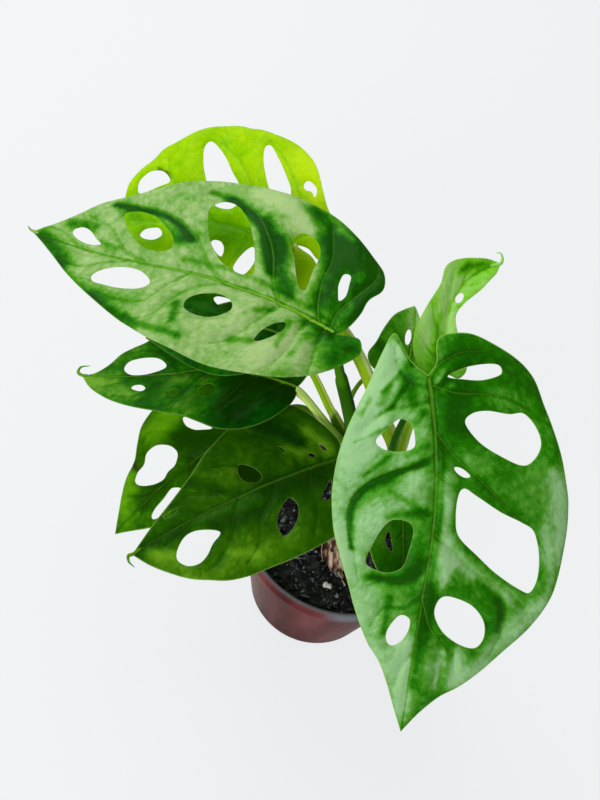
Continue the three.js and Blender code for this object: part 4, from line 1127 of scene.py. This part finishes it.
class BladeSettings(bpy.types.PropertyGroup):
    """Sizes and colours that all leaf blades share."""

    spacing: length("Mesh Spacing", "Distance between points of a blade", 0.00115)
    thickness: length("Thickness", "Thickness of a blade between its veins", 0.00055)
    groove: length("Vein Groove", "Depth of a side vein in the upper face", 0.0006)
    lime: colour("Vein Green", "Colour of the side veins and the midrib", (0.24, 0.52, 0.03))
    margin: colour("Margin", "Colour of the thin line at rim and holes", (0.4, 0.6, 0.12))
    underside: colour("Underside", "Colour of the matt lower face", (0.16, 0.34, 0.08))
    scar: colour("Scar", "Colour of a dead spot", (0.03, 0.016, 0.008))
    dust: colour("Dust", "Pale specks on the upper face", (0.45, 0.6, 0.33))
    gloss: colour("Gloss", "Tint of the wax's shine", (0.5, 1.0, 0.4))
    glow_colour: colour("Light Through", "Colour of light that comes through a blade", (0.45, 0.85, 0.01))
    glow: number("Glow", "Share of light that each face lets through", 0.22)
    young_glow: number("Young Glow", "The same share in a young blade", 0.5)


class StalkSettings(bpy.types.PropertyGroup):
    """Sizes and colours of the petioles and shoots."""

    sides: IntProperty(name="Sides", description="Points round a stalk", default=28, min=8)
    spacing: length("Ring Spacing", "Distance between rings of points", 0.0012)
    gloss: colour("Gloss", "Tint of the skin's shine", (0.7, 1.0, 0.5))
    body: colour("Bark", "Green of a shoot", (0.07, 0.17, 0.02))
    body_light: colour("Light Bark", "Lighter green of a shoot", (0.22, 0.36, 0.06))
    scar: colour("Ring Scar", "Brown of the rings and the foot", (0.16, 0.1, 0.045))


class PotSettings(bpy.types.PropertyGroup):
    """Colours and fineness of the pot."""

    sides: IntProperty(name="Sides", description="Points round the pot", default=192, min=48)
    bead: length("Bead", "Radius of the rounded edges of the rim", 0.0007)
    body: colour("Body", "Dusky rose of the plastic", (0.135, 0.023, 0.024))
    # Shade and light are also the ends of the painted reflection streaks.
    shade: colour("Shade", "Deepest tint of the plastic", (0.06, 0.009, 0.009))
    light: colour("Light", "Palest tint of the plastic", (0.19, 0.052, 0.052))
    # Band: a painted reflection on the rim band. Lip: a painted highlight along the rim's edge.
    band: colour("Band", "Blue-grey of the worn rim band", (0.18, 0.23, 0.26))
    lip: colour("Lip", "Worn grey of the rim's edge", (0.15, 0.155, 0.17))
    dust: colour("Dust", "Soil dust on the inner wall", (0.02, 0.016, 0.016))
    gloss: colour("Gloss", "Tint of the plastic's shine", (1.0, 0.8, 0.78))


class SoilSettings(bpy.types.PropertyGroup):
    """Colours and fineness of the soil and what lies in it."""

    spacing: length("Mesh Spacing", "Distance between points of the soil's top", 0.0008)
    crumbs: IntProperty(name="Crumbs", description="Loose crumbs on the soil", default=1700, min=0)
    peat: colour("Peat", "Black of the fine mix", (0.002, 0.002, 0.003))
    bark: colour("Bark", "Brown-black of the crumbs", (0.014, 0.012, 0.012))
    stone: colour("Grit", "Blue-grey of the grit", (0.11, 0.125, 0.15))
    chaff: colour("Chaff", "Pale bits in the mix", (0.38, 0.35, 0.32))
    perlite: colour("Perlite", "White of the perlite", (0.83, 0.77, 0.72))
    perlite_stain: colour("Perlite Stain", "Soil in its hollows", (0.3, 0.2, 0.16))
    # Umber to straw: the sheath's browns, which also carry the painted shade of its hollows and the painted
    # highlight of its crests.
    umber: colour("Sheath Umber", "Dark brown of the dry sheath", (0.045, 0.02, 0.014))
    tan: colour("Sheath Tan", "Middle brown of the dry sheath", (0.33, 0.17, 0.11))
    straw: colour("Sheath Straw", "Pale ridges of the dry sheath", (0.86, 0.62, 0.48))


class StageSettings(bpy.types.PropertyGroup):
    """Floor, light and camera."""

    floor: colour("Floor", "Colour of the floor", (0.9, 0.9, 0.9))
    sky: colour("Sky", "Colour of the light from all sides", (0.97, 0.99, 1.0))
    sky_power: number("Sky Power", "Strength of the light from all sides", 0.22)
    backdrop: number("Backdrop", "Brightness of the haze on and past the floor", 0.9)
    haze: number("Haze", "Share of the haze on the floor, seen by the camera", 0.88)
    key_power: FloatProperty(
        name="Key Power", description="Power of the soft light behind on the left", default=27, unit="POWER")
    front_power: FloatProperty(
        name="Front Power", description="Power of the light in front", default=18, unit="POWER")
    lens: FloatProperty(
        name="Lens", description="Focal length", default=CAMERA["lens"], unit="CAMERA")


# --- building the pieces ---


def bell(distance, width, power=2):
    """1 at no distance, and smoothly down to 0 past the width."""
    return np.exp(-((distance / width) ** power))


def soft_steps(value):
    """0 up to 0, 1 from 1 on, and smooth between them."""
    value = np.clip(value, 0, 1)
    return value * value * (3 - 2 * value)


def blade_marks(leaf, flat, veins, midrib, loops):
    """How far each point is from the rim and the veins, and what the skin shows there."""
    to_outline = nearest(flat, loops[0])[0]
    to_hole = np.min([nearest(flat, loop)[0] for loop in loops[1:]], axis=0)
    to_midrib, midrib_share = nearest(flat, midrib)
    to_vein, vein_share, lime = np.full(len(flat), 99.0), np.zeros(len(flat)), np.zeros(len(flat))
    for vein in veins:
        gap, share = nearest(flat, vein)
        closer = gap < to_vein
        to_vein, vein_share = np.where(closer, gap, to_vein), np.where(closer, share, vein_share)
        lime = np.where(closer, leaf["lime"][int(vein[-1][1] < 0)], lime)
    # The tone: a level of painted sheen, changed by strokes of painted sheen and painted shade.
    tone = np.full(len(flat), leaf["painted_sheen"])
    for change, width, *points in leaf["strokes"]:
        tone += change * bell(nearest(flat, spline(points, 2))[0], width)
    scar = np.zeros(len(flat))
    for width, *points in leaf.get("scars", ()):
        scar += bell(nearest(flat, points)[0], width, 4)
    vein_width, rib_width = (
        foot - taper * share for (foot, taper), share in ((VEIN, vein_share), (MIDRIB, midrib_share)))
    return dict(
        to_rim=np.minimum(to_outline, to_hole), to_midrib=to_midrib, midrib_share=midrib_share,
        to_vein=to_vein, vein_share=vein_share, tone=tone.clip(-0.2, 1.1), scar=scar.clip(0, 1),
        near=(to_vein / vein_width).clip(0, FAR), rib=(to_midrib / rib_width).clip(0, FAR),
        rim=np.minimum(to_outline, 1.3 * to_hole + 0.2).clip(0, 5),
        lime=lime * (1 - 0.6 * vein_share), spine=np.interp(midrib_share, (0, 1), leaf["spine"]))


def blade_relief(leaf, flat, marks, groove):
    """Height of the upper and the lower face over the smooth bent blade, without its thickness."""
    pucker = leaf["pucker"]
    between = np.minimum(marks["to_vein"], marks["to_midrib"])
    inner = 1 - bell(marks["to_rim"], 5, 1.5)
    swell = pucker * (1 - bell(between, 5, 1.4) - MIDRIB_SINK) * (0.3 + 0.7 * inner)
    lumps = 0.32 * pucker * wobble(flat * (1, 0.7), 0.1, leaf["length"]) * (0.4 + 0.6 * inner)
    lumps += 0.13 * wobble(flat, 0.3, leaf["length"] + 9) * inner
    lip = -0.5 * np.exp(-marks["to_rim"] / 1.6)
    side = groove * bell(marks["to_vein"], 0.8) * (1 - 0.6 * marks["vein_share"])
    fade = 1 - 0.7 * marks["midrib_share"]
    middle = bell(marks["to_midrib"], 1.3) * fade
    ridge = 0.5 * bell(marks["to_midrib"], 0.6) * fade
    body = swell + lumps + lip
    return body - (side + 0.8 * middle) * inner + ridge, body - 0.4 * side - 1.3 * middle


def drip_tip(form, drip):
    """The blade's thin curled end, as a tapered thread that starts inside the tip."""
    end, turn = form.points[-1], form.turns[-1]
    steps = np.array([*DRIP["inside"], *drip], float)
    path = stem_curve([end + turn @ step for step in steps], 0.5)
    radii = np.interp(np.linspace(0, 1, len(path)), DRIP["share"], DRIP["radius"])
    return tube(path, radii, DRIP["sides"])


def below_blade(points, shares, leaf, form):
    """Presses a petiole's end down under the blade, so that it doesn't show on the upper face."""
    foot, turn = np.array(leaf["foot"]), form.turns[0]
    local = (points - foot) @ turn
    under = soft_steps((local[:, 0] + 3.5) / 4)
    roof = under * (-MIDRIB_SINK * leaf["pucker"] - 1.0) + (1 - under) * 8
    high = np.where(shares > 0.75, np.minimum(local[:, 2], roof), local[:, 2])
    return foot + np.c_[local[:, :2], high] @ turn.T


def build_blade(name, leaf, look):
    """A blade with two faces and a rim, and the thin end of its tip where its row has one."""
    form = BladeForm(leaf)
    midrib = spline(leaf["midrib"], 1.2)
    veins = [spline(vein, 1.2) for vein in leaf["veins"]]
    flat, triangles, loops = flat_mesh(leaf, look.spacing / MM, [midrib, *veins])
    marks = blade_marks(leaf, flat, veins, midrib, loops)
    upper, lower = blade_relief(leaf, flat, marks, look.groove / MM)
    half = look.thickness / MM / 2 * (0.35 + 0.65 * (1 - np.exp(-marks["to_rim"] / 0.8)))
    centre, normal = form.place(flat), form.normals(flat)
    lower = np.minimum(lower, upper)
    points = np.vstack([centre + normal * (upper + half)[:, None], centre + normal * (lower - half)[:, None]])
    count = len(flat)
    rim = free_edges(triangles)
    faces = [*triangles.tolist(), *(triangles[:, ::-1] + count).tolist()]
    face_finish = [0] * len(triangles) + [1] * len(triangles) + [0] * len(rim)
    faces += [(a, a + count, b + count, b) for a, b in rim]
    grain = np.stack([flat[:, 0] - 0.55 * np.abs(flat[:, 1]), flat[:, 1], np.zeros(count)], 1)
    skin_marks = ("tone", "near", "rib", "rim", "lime", "spine", "scar")
    attributes = {key: np.tile(marks[key], 2) for key in skin_marks}
    attributes["flat"] = np.tile(np.c_[flat, np.zeros(count)], (2, 1))
    attributes["grain"] = np.tile(grain, (2, 1))
    if "drip" in leaf:
        tip_points, tip_faces, *_ = drip_tip(form, leaf["drip"])
        points, faces = joined([(points, faces), (tip_points, tip_faces)])
        face_finish += [0] * len(tip_faces)
        plain = {"tone": 0.8, "near": FAR, "rib": FAR, "rim": 1}
        for key, values in attributes.items():
            fill = np.full((len(tip_points), *values.shape[1:]), plain.get(key, 0.0))
            attributes[key] = np.concatenate([values, fill])
    sharp = [edge for a, b in rim for edge in ((a, b), (a + count, b + count))]
    finishes = [blade_top(name, leaf, look), blade_under(name, leaf, look)]
    nodes = [f"blade_{name}"]
    add_piece(f"leaf_blade_{name}", points, faces, finishes, nodes, attributes, face_finish, sharp)


def build_petiole(name, leaf, look):
    """A stalk that is grooved on top, winged where its sheath wraps the shoot and thicker at its knee."""
    form = BladeForm(leaf)
    seat = np.array(leaf["foot"]) + form.turns[0] @ np.array(PETIOLE_SEAT)
    path = stem_curve([leaf["from_shoot"], *leaf["stalk"], seat], look.spacing / MM)
    share = np.linspace(0, 1, len(path))
    run = len(path) * look.spacing / MM
    knee = 1 + KNEE["swelling"] * bell((1 - share) * run - KNEE["before_seat"], KNEE["width"])
    radii = np.interp(share, (0, 1), leaf["radius"]) * knee
    reach, stand = leaf.get("wrap", PLAIN_WRAP)

    def past_end(at, angle):
        return at - reach - 2.5 / run * math.cos(angle)

    def section(at, angle):
        away = min(angle, 2 * math.pi - angle)
        groove = 0.16 * math.exp(-((away / 0.38) ** 2)) - 0.07 * math.exp(-(((away - 0.85) / 0.3) ** 2))
        wing = abs(math.sin(angle)) ** 2 * (0.4 + 0.6 * min(1, at / reach))
        return 1 - groove + stand * (0.3 + wing) * float(soft_steps(0.5 - past_end(at, angle) * run / 3))

    points, faces, shares, ways = tube(path, radii, look.sides, section)
    points = below_blade(points, shares, leaf, form)
    colours = PETIOLE_SKINS[name]
    angles, streaks = stalk_flat(shares, run, look.sides, 3)
    past = np.array([past_end(at, angle) for at, angle in zip(shares, angles)]) * run
    attributes = {
        # How far each point faces the way of the painted highlight.
        "flank": ways @ (np.array(colours[3]) / np.linalg.norm(colours[3])),
        "sheath": soft_steps(0.5 - past),
        "hem": 0.7 * np.exp(-((past + 0.6) ** 2)),
        "flat": streaks,
    }
    skin = petiole_skin(name, colours, look)
    add_piece(f"leaf_petiole_{name}", points, faces, [skin], [f"petiole_{name}"], attributes)


def build_shoot(name, shoot, look, skin):
    """A short jointed stem with a swollen ring every few millimetres."""
    path = stem_curve(shoot["path"], look.spacing / MM)
    share = np.linspace(0, 1, len(path))
    ring = bell(share * SHOOT_RINGS % 1 - 0.5, 0.1)
    radii = np.interp(share, (0, 1), shoot["radius"]) * (0.95 + 0.1 * ring)
    points, faces, shares, _ = tube(path, radii, look.sides)
    points = points + 0.25 * wobble(points, 0.35, 3)[:, None] * (1, 1, 0)
    _, streaks = stalk_flat(shares, len(path) * look.spacing / MM, look.sides, 4)
    near_soil = np.clip((SOIL_TOP + BROWN_FOOT - points[:, 2]) / BROWN_FOOT, 0, 1)
    mark = bell(shares * SHOOT_RINGS % 1 - 0.62, 0.07)
    attributes = {"ring": np.maximum(mark, near_soil), "flat": streaks}
    add_piece(f"plant_shoot_{name}", points, faces, [skin], [f"shoot_{name}"], attributes)


def pot_inside(z):
    """Inner radius of the pot's wall."""
    return POT["base"] - POT["wall"] + (POT["shoulder"] - POT["base"]) / (POT["height"] - POT["band"]) * z


def arc(centre, radius, start, end, steps=5):
    """Profile points on a rounded corner, angles in degrees from the outward way."""
    angles = np.radians(np.linspace(start, end, steps))
    return [(centre[0] + radius * math.cos(a), centre[1] + radius * math.sin(a)) for a in angles]


def pot_profile(bead):
    """Half section of the pot, from the middle of its bottom out, up, over the rim and down inside."""
    height, rim, shoulder, base, wall, band, foot = (
        POT[key] for key in ("height", "rim", "shoulder", "base", "wall", "band", "foot"))
    under = height - band
    slope = (shoulder - base) / under
    body = [(base + slope * z, z) for z in np.linspace(foot + 1, under - 0.6, 24)]
    inner = pot_inside(height)
    lining = [(pot_inside(z), z) for z in np.linspace(height - bead, wall + 1.5, 26)]
    return [
        (0, 0), (base - foot, 0), *arc((base - foot, foot), foot, -70, -10),
        *body, *arc((shoulder + 0.6, under - 0.6), 0.6, 180, 100, 4),
        *arc((rim - bead, under + bead), bead, -80, 0), (rim - 0.1, under + band / 2),
        *arc((rim - bead, height - bead), bead, 0, 90), *arc((inner + bead, height - bead), bead, 90, 170),
        *lining, (pot_inside(wall) - 1.2, wall), (0, wall),
    ]


def build_pot(look):
    """The turned pot, with its drain holes cut out."""
    profile = np.array(pot_profile(look.bead / MM))
    sides, rows = look.sides, len(profile) - 2
    angles = around(sides)
    ring = np.stack([np.cos(angles), np.sin(angles)], 1)
    points = [(0, 0, profile[0][1])]
    for r, z in profile[1:-1]:
        points += np.c_[ring * r, np.full(sides, z)].tolist()
    points.append((0, 0, profile[-1][1]))
    pot = add_piece("nursery_pot", points, shell_faces(rows, sides), [pot_plastic(look)], ["pot"])
    cutters = bmesh.new()
    for angle in around(DRAIN["count"]):
        place = (DRAIN["circle"] * MM * math.cos(angle), DRAIN["circle"] * MM * math.sin(angle), 0)
        bmesh.ops.create_cone(
            cutters, cap_ends=True, segments=32, radius1=DRAIN["radius"] * MM, radius2=DRAIN["radius"] * MM,
            depth=6 * POT["wall"] * MM, matrix=Matrix.Translation(place))
    cutter_mesh = bpy.data.meshes.new("drain_cutters")
    cutters.to_mesh(cutter_mesh)
    cutters.free()
    cutter = bpy.data.objects.new("drain_cutters", cutter_mesh)
    bpy.context.collection.objects.link(cutter)
    modifier = pot.modifiers.new("drain", "BOOLEAN")
    modifier.operation, modifier.solver, modifier.object = "DIFFERENCE", "EXACT", cutter
    bpy.context.view_layer.update()
    cut = bpy.data.meshes.new_from_object(pot.evaluated_get(bpy.context.evaluated_depsgraph_get()))
    pot.modifiers.clear()
    pot.data = cut
    bpy.data.objects.remove(cutter)
    mark_pot(cut)


def mark_pot(mesh):
    """Where each point is round the wall, how close to the lip it is for its painted highlight, where the rim
    band carries a painted reflection, and how dusty.
    """
    points = np.empty(len(mesh.vertices) * 3)
    mesh.vertices.foreach_get("co", points)
    points = points.reshape(-1, 3) / MM
    x, y, z = points.T
    radius, angle = np.hypot(x, y), np.arctan2(y, x)
    within = radius < pot_inside(z) + 0.5
    height = POT["height"]
    on_band = np.where(within, 0, soft_steps((z - height + POT["band"]) / 1.5))
    # The rim band's painted reflection lies on its front right, and the lip's painted highlight along its
    # top.
    painted_reflection_place = soft_steps((x - 2) / 14) * soft_steps(-y / 22)
    marks = {
        "around": np.c_[x, y, z],
        "lip": soft_steps((z - height + 1) / 0.8),
        "band": 0.8 * on_band * painted_reflection_place,
        "dust": np.where(within, soft_steps((height + 1 - z + 0.8 * np.sin(9 * angle)) / 5), 0),
    }
    write_marks(mesh, marks)


def soil_height(x, y):
    """The soil's low waves, flat at the wall."""
    edge = np.clip(1 - np.hypot(x, y) / pot_inside(SOIL_TOP), 0, 1)
    lumps = np.sin(0.42 * x + 1) * np.cos(0.37 * y) + 0.6 * np.sin(0.71 * y - 0.5 * x)
    return SOIL_TOP + SOIL_LUMP * lumps * np.minimum(1, 3 * edge)


def crumb_shape(draw, size, stretch):
    """One angular crumb: a small ball pulled long and knocked out of round."""
    points, faces = unit_ball(1)
    knock = np.array([draw.uniform(0.65, 1.25) for _ in points])
    points = points * knock[:, None] * (size * stretch, size, size * draw.uniform(0.5, 0.9))
    turn = Quaternion((draw.gauss(0, 1), draw.gauss(0, 1), draw.gauss(0, 1), draw.gauss(0, 1))).normalized()
    return points @ np.array(turn.to_matrix()), faces


def build_soil(look):
    """A crumbled top on a plain plug, strewn with crumbs, bark and chaff."""
    draw = random.Random(11)
    outer = pot_inside(SOIL_TOP) - 0.25
    rings = round(outer / (look.spacing / MM))
    spokes = 3 * rings
    radii = np.linspace(outer / rings, outer, rings)
    angles = around(spokes)
    x, y = (np.outer(radii, f(angles)).ravel() for f in (np.cos, np.sin))
    x, y = np.r_[0, x], np.r_[0, y]
    top = soil_height(x, y)
    grains = np.c_[x, y]
    rough = 0.9 * wobble(grains, 0.3, 1) + 0.6 * wobble(grains, 0.75, 2) + 0.35 * wobble(grains, 1.6, 3)
    top = top + rough - 0.2
    floor_z = POT["wall"] + 0.3
    floor_r = pot_inside(floor_z) - 0.3
    wall = [(floor_r * math.cos(a), floor_r * math.sin(a), floor_z) for a in angles]
    points = np.vstack([np.c_[x, y, top], wall, [(0, 0, floor_z)]])
    # The rings run out over the top and down the wall, so each face is turned over.
    faces = [(first, *rest[::-1]) for first, *rest in shell_faces(rings + 1, spokes)]
    shades = np.full(len(points), 0.15)
    shades[:len(x)] += 0.25 * rough
    parts, all_shades = [(points, faces)], [shades]
    for _ in range(look.crumbs):
        r, a = outer * math.sqrt(draw.random()) * 0.985, draw.uniform(0, 2 * math.pi)
        cx, cy = r * math.cos(a), r * math.sin(a)
        size = CRUMB["smallest"] + CRUMB["spread"] * draw.random() ** 3
        long = draw.random() < CRUMB["long_share"]
        crumb, crumb_faces = crumb_shape(draw, size, CRUMB["long" if long else "round"])
        reach = np.abs(crumb[:, :2]).max()
        if r + reach > outer:
            cx, cy = cx * (outer - reach) / r, cy * (outer - reach) / r
        z = float(soil_height(cx, cy)) + 0.35 * size + draw.uniform(-0.3, 0.5)
        shade = draw.choice(CRUMB_SHADES)
        if draw.random() < CRUMB["chaff_share"]:
            shade = 1.0
            crumb = crumb * CRUMB["chaff_size"]
        parts.append((crumb + (cx, cy, z), crumb_faces))
        all_shades.append(np.full(len(crumb), shade))
    points, faces = joined(parts)
    crumb_marks = {"crumb": np.concatenate(all_shades)}
    add_piece("potting_soil", points, faces, [soil_mix(look)], ["soil"], crumb_marks)


def build_perlite(look):
    """Three white bits, each two lumps grown together and pitted."""
    stone = perlite_stone(look)
    for index, ((x, y), size) in enumerate(PERLITE, 1):
        points, faces = unit_ball(5)
        waist = 1 - 0.38 * bell(points[:, 0], 0.3)
        lumps = 1 + 0.16 * wobble(points * 3, 0.5, index) + 0.07 * wobble(points * 3, 1.6, index + 4)
        points = points * (waist * lumps)[:, None] * [share * size for share in PERLITE_SHAPE]
        c, s = math.cos(x), math.sin(x)
        points = points @ np.array(((c, s, 0), (-s, c, 0), (0, 0, 1)))
        points = points + (x, y, float(soil_height(x, y)) + 0.45 * size)
        add_piece(f"perlite_bit_{index}", points, faces, [stone], [f"perlite_{index}"])


def sheath_strip(foot, heading, rise, length, width, roll_up, seed):
    """One brittle strip: a bent blade with wandering lengthwise folds and a torn rim."""
    rim = np.array(TORN_RIM)
    other_rim = rim[[0, 2, 3, 5, 6, 8, 9]]
    spec = dict(
        foot=foot, length=length, heading=heading, rise=rise, roll=0, sag=(14, -8), swing=(0, 0), holes=(),
        fold=(roll_up / 2, roll_up / 2), cup=(5 * roll_up, 5 * roll_up), wave=(0, 3, 0),
        left=tuple(map(tuple, rim * (length, width))), right=tuple(map(tuple, other_rim * (length, width))))
    flat, triangles, loops = flat_mesh(spec, 0.4, [np.array(((0, 0), (length, 0)))])
    form = BladeForm(spec)
    to_rim = nearest(flat, loops[0])[0]
    across = flat[:, 1] + 1.1 * wobble(flat * (1, 0.4), 0.16, seed)
    fold = 1 - 2 * np.abs((across * 0.24 + seed * 0.37) % 1 - 0.5)
    crumple = wobble(flat * (1, 1.3), 0.24, seed)
    height = 1.2 * (fold - 0.5) * (1 - np.exp(-to_rim)) + 1.1 * crumple + 0.35 * wobble(flat, 0.6, seed + 2)
    centre, normal = form.place(flat), form.normals(flat)
    points = np.vstack([centre + normal * (height + side)[:, None] for side in (SHEATH_HALF, -SHEATH_HALF)])
    count = len(flat)
    faces = [*triangles.tolist(), *(triangles[:, ::-1] + count).tolist()]
    faces += [(a, a + count, b + count, b) for a, b in free_edges(triangles)]
    # The tone follows the folds and crumples: painted highlight on their crests and painted shade in their
    # hollows, with a little random tone.
    tone = 0.22 + 0.45 * fold + 0.7 * crumple + 0.25 * wobble(flat * (0.5, 1), 0.5, seed + 5)
    return points, faces, np.tile(tone, 2), np.tile(np.c_[flat, np.zeros(count)], (2, 1))


def build_sheath(look):
    """All strips and loose threads of the dry sheath, as one piece."""
    parts, tones, flats = [], [], []
    for seed, (*strip, pale) in enumerate(SHEATH):
        points, faces, tone, flat = sheath_strip(*strip, seed * 2.0)
        parts.append((points, faces))
        tones.append(tone + pale)
        flats.append(flat)
    for thread in SHEATH_THREADS:
        path = stem_curve(thread, 0.6)
        points, faces, shares, _ = tube(path, np.linspace(*THREAD["radius"], len(path)), THREAD["sides"])
        parts.append((points, faces))
        tones.append(np.full(len(points), THREAD["tone"]))
        flats.append(np.c_[shares * THREAD["run"], shares * 0, shares * 0])
    points, faces = joined(parts)
    attributes = {"tone": np.concatenate(tones), "flat": np.vstack(flats)}
    skin = sheath_paper(look)
    add_piece("dry_leaf_sheath", points, faces, [skin], ["dry_sheath"], attributes)


# --- stage ---


def add_light(name, place, size, tint, power):
    """A round soft light that faces the plant and that the camera doesn't see."""
    light = bpy.data.lights.new(name, "AREA")
    light.shape, light.size, light.energy, light.color = "DISK", size, power, tint
    lamp = bpy.data.objects.new(name, light)
    lamp.location = place
    lamp.rotation_euler = (Vector(LIT_POINT) - Vector(place)).to_track_quat("-Z", "Y").to_euler()
    lamp.visible_camera = False
    bpy.context.collection.objects.link(lamp)


def build_stage(look):
    """A plain floor, a large soft light behind on the left, one in front, and the camera."""
    scene = bpy.context.scene
    mesh = bpy.data.meshes.new("floor")
    corners = [(x * FLOOR_REACH, y * FLOOR_REACH, FLOOR_Z) for x, y in ((-1, -1), (1, -1), (1, 1), (-1, 1))]
    mesh.from_pydata(corners, [], [(0, 1, 2, 3)])
    # To the camera the floor is mostly haze, so that it stays as pale as the space past it.
    finish = Finish("floor_paper")
    seen = finish.node("LightPath", output="Is Camera Ray")
    paper = finish.node("BsdfDiffuse", None, {"Color": look.floor})
    haze = finish.node("Emission", None, {"Color": look.sky, "Strength": look.backdrop})
    surface = finish.node("MixShader", None, {0: seen * look.haze, 1: paper, 2: haze})
    finish.node("OutputMaterial", None, {"Surface": surface}, output=None)
    mesh.materials.append(finish.material)
    floor = bpy.data.objects.new("floor", mesh)
    bpy.context.collection.objects.link(floor)
    world = bpy.data.worlds.new("studio_sky")
    world.use_nodes = True
    nodes, links = world.node_tree.nodes, world.node_tree.links
    sky = nodes["Background"]
    sky.inputs["Color"].default_value = (*look.sky, 1)
    # The space past the floor looks as pale as the floor, but sheds less light.
    seen, strength = nodes.new("ShaderNodeLightPath"), nodes.new("ShaderNodeMapRange")
    strength.inputs["To Min"].default_value = look.sky_power
    strength.inputs["To Max"].default_value = look.backdrop
    links.new(seen.outputs["Is Camera Ray"], strength.inputs["Value"])
    links.new(strength.outputs[0], sky.inputs["Strength"])
    scene.world = world
    for (name, lamp), power in zip(LAMPS.items(), (look.key_power, look.front_power)):
        add_light(name, *lamp, power)
    camera = bpy.data.cameras.new("camera")
    camera.lens, camera.sensor_width, camera.sensor_fit = look.lens, CAMERA["sensor"], "AUTO"
    camera.clip_start = 0.01
    eye = bpy.data.objects.new("camera", camera)
    down = Matrix.Rotation(math.radians(90 - CAMERA["pitch"]), 4, "X")
    roll = Matrix.Rotation(math.radians(CAMERA["roll"]), 4, "Z")
    eye.matrix_world = Matrix.Translation(Vector(CAMERA["place"]) * MM) @ down @ roll
    bpy.context.collection.objects.link(eye)
    scene.camera = eye
    scene.view_settings.view_transform = "Standard"


# --- operators, panel and run ---


class PLANT_OT_pot(bpy.types.Operator):
    """Build the moulded nursery pot"""

    bl_idname = "plant.pot"
    bl_label = "Pot"

    def execute(self, context):
        build_pot(context.scene.plant_pot)
        return {"FINISHED"}


class PLANT_OT_soil(bpy.types.Operator):
    """Build the potting soil with its crumbs and perlite"""

    bl_idname = "plant.soil"
    bl_label = "Soil and Perlite"

    def execute(self, context):
        build_soil(context.scene.plant_soil)
        build_perlite(context.scene.plant_soil)
        return {"FINISHED"}


class PLANT_OT_sheath(bpy.types.Operator):
    """Build the dry papery sheath at the foot of the plant"""

    bl_idname = "plant.sheath"
    bl_label = "Dry Sheath"

    def execute(self, context):
        build_sheath(context.scene.plant_soil)
        return {"FINISHED"}


class PLANT_OT_stalks(bpy.types.Operator):
    """Build the two shoots and a petiole for each leaf"""

    bl_idname = "plant.stalks"
    bl_label = "Shoots and Petioles"

    def execute(self, context):
        look = context.scene.plant_stalk
        skin = shoot_skin(look)
        for name, shoot in SHOOTS.items():
            build_shoot(name, shoot, look, skin)
        for name, leaf in LEAVES.items():
            build_petiole(name, leaf, look)
        return {"FINISHED"}


class PLANT_OT_blades(bpy.types.Operator):
    """Build the leaf blades with their holes, veins and drip tips"""

    bl_idname = "plant.blades"
    bl_label = "Leaf Blades"

    def execute(self, context):
        for name, leaf in LEAVES.items():
            build_blade(name, leaf, context.scene.plant_blade)
        return {"FINISHED"}


class PLANT_OT_stage(bpy.types.Operator):
    """Set up the floor, lights and camera"""

    bl_idname = "plant.stage"
    bl_label = "Stage"

    def execute(self, context):
        build_stage(context.scene.plant_stage)
        return {"FINISHED"}


class PLANT_PT_panel(bpy.types.Panel):
    """Settings and buttons in the sidebar"""

    bl_label = "Potted Vine"
    bl_idname = "PLANT_PT_panel"
    bl_space_type = "VIEW_3D"
    bl_region_type = "UI"
    bl_category = "Plant"

    def draw(self, context):
        for operator in OPERATORS:
            self.layout.operator(operator.bl_idname)
        for key, settings in SETTINGS.items():
            box = self.layout.box()
            box.label(text=settings.__name__)
            for prop in settings.__annotations__:
                box.prop(getattr(context.scene, key), prop)


SETTINGS = {
    "plant_blade": BladeSettings, "plant_stalk": StalkSettings, "plant_pot": PotSettings,
    "plant_soil": SoilSettings, "plant_stage": StageSettings,
}
OPERATORS = (PLANT_OT_stage, PLANT_OT_pot, PLANT_OT_soil, PLANT_OT_sheath, PLANT_OT_stalks, PLANT_OT_blades)


def register():
    for cls in (*SETTINGS.values(), *OPERATORS, PLANT_PT_panel):
        bpy.utils.register_class(cls)
    for key, settings in SETTINGS.items():
        setattr(bpy.types.Scene, key, PointerProperty(type=settings))


def unregister():
    for key in SETTINGS:
        delattr(bpy.types.Scene, key)
    for cls in reversed((*SETTINGS.values(), *OPERATORS, PLANT_PT_panel)):
        bpy.utils.unregister_class(cls)


def main():
    """Registers the add-on and builds all pieces."""
    register()
    bpy.ops.plant.stage()
    bpy.ops.plant.pot()
    bpy.ops.plant.soil()
    bpy.ops.plant.sheath()
    bpy.ops.plant.stalks()
    bpy.ops.plant.blades()
    bpy.context.view_layer.update()


if __name__ == "__main__":
    main()
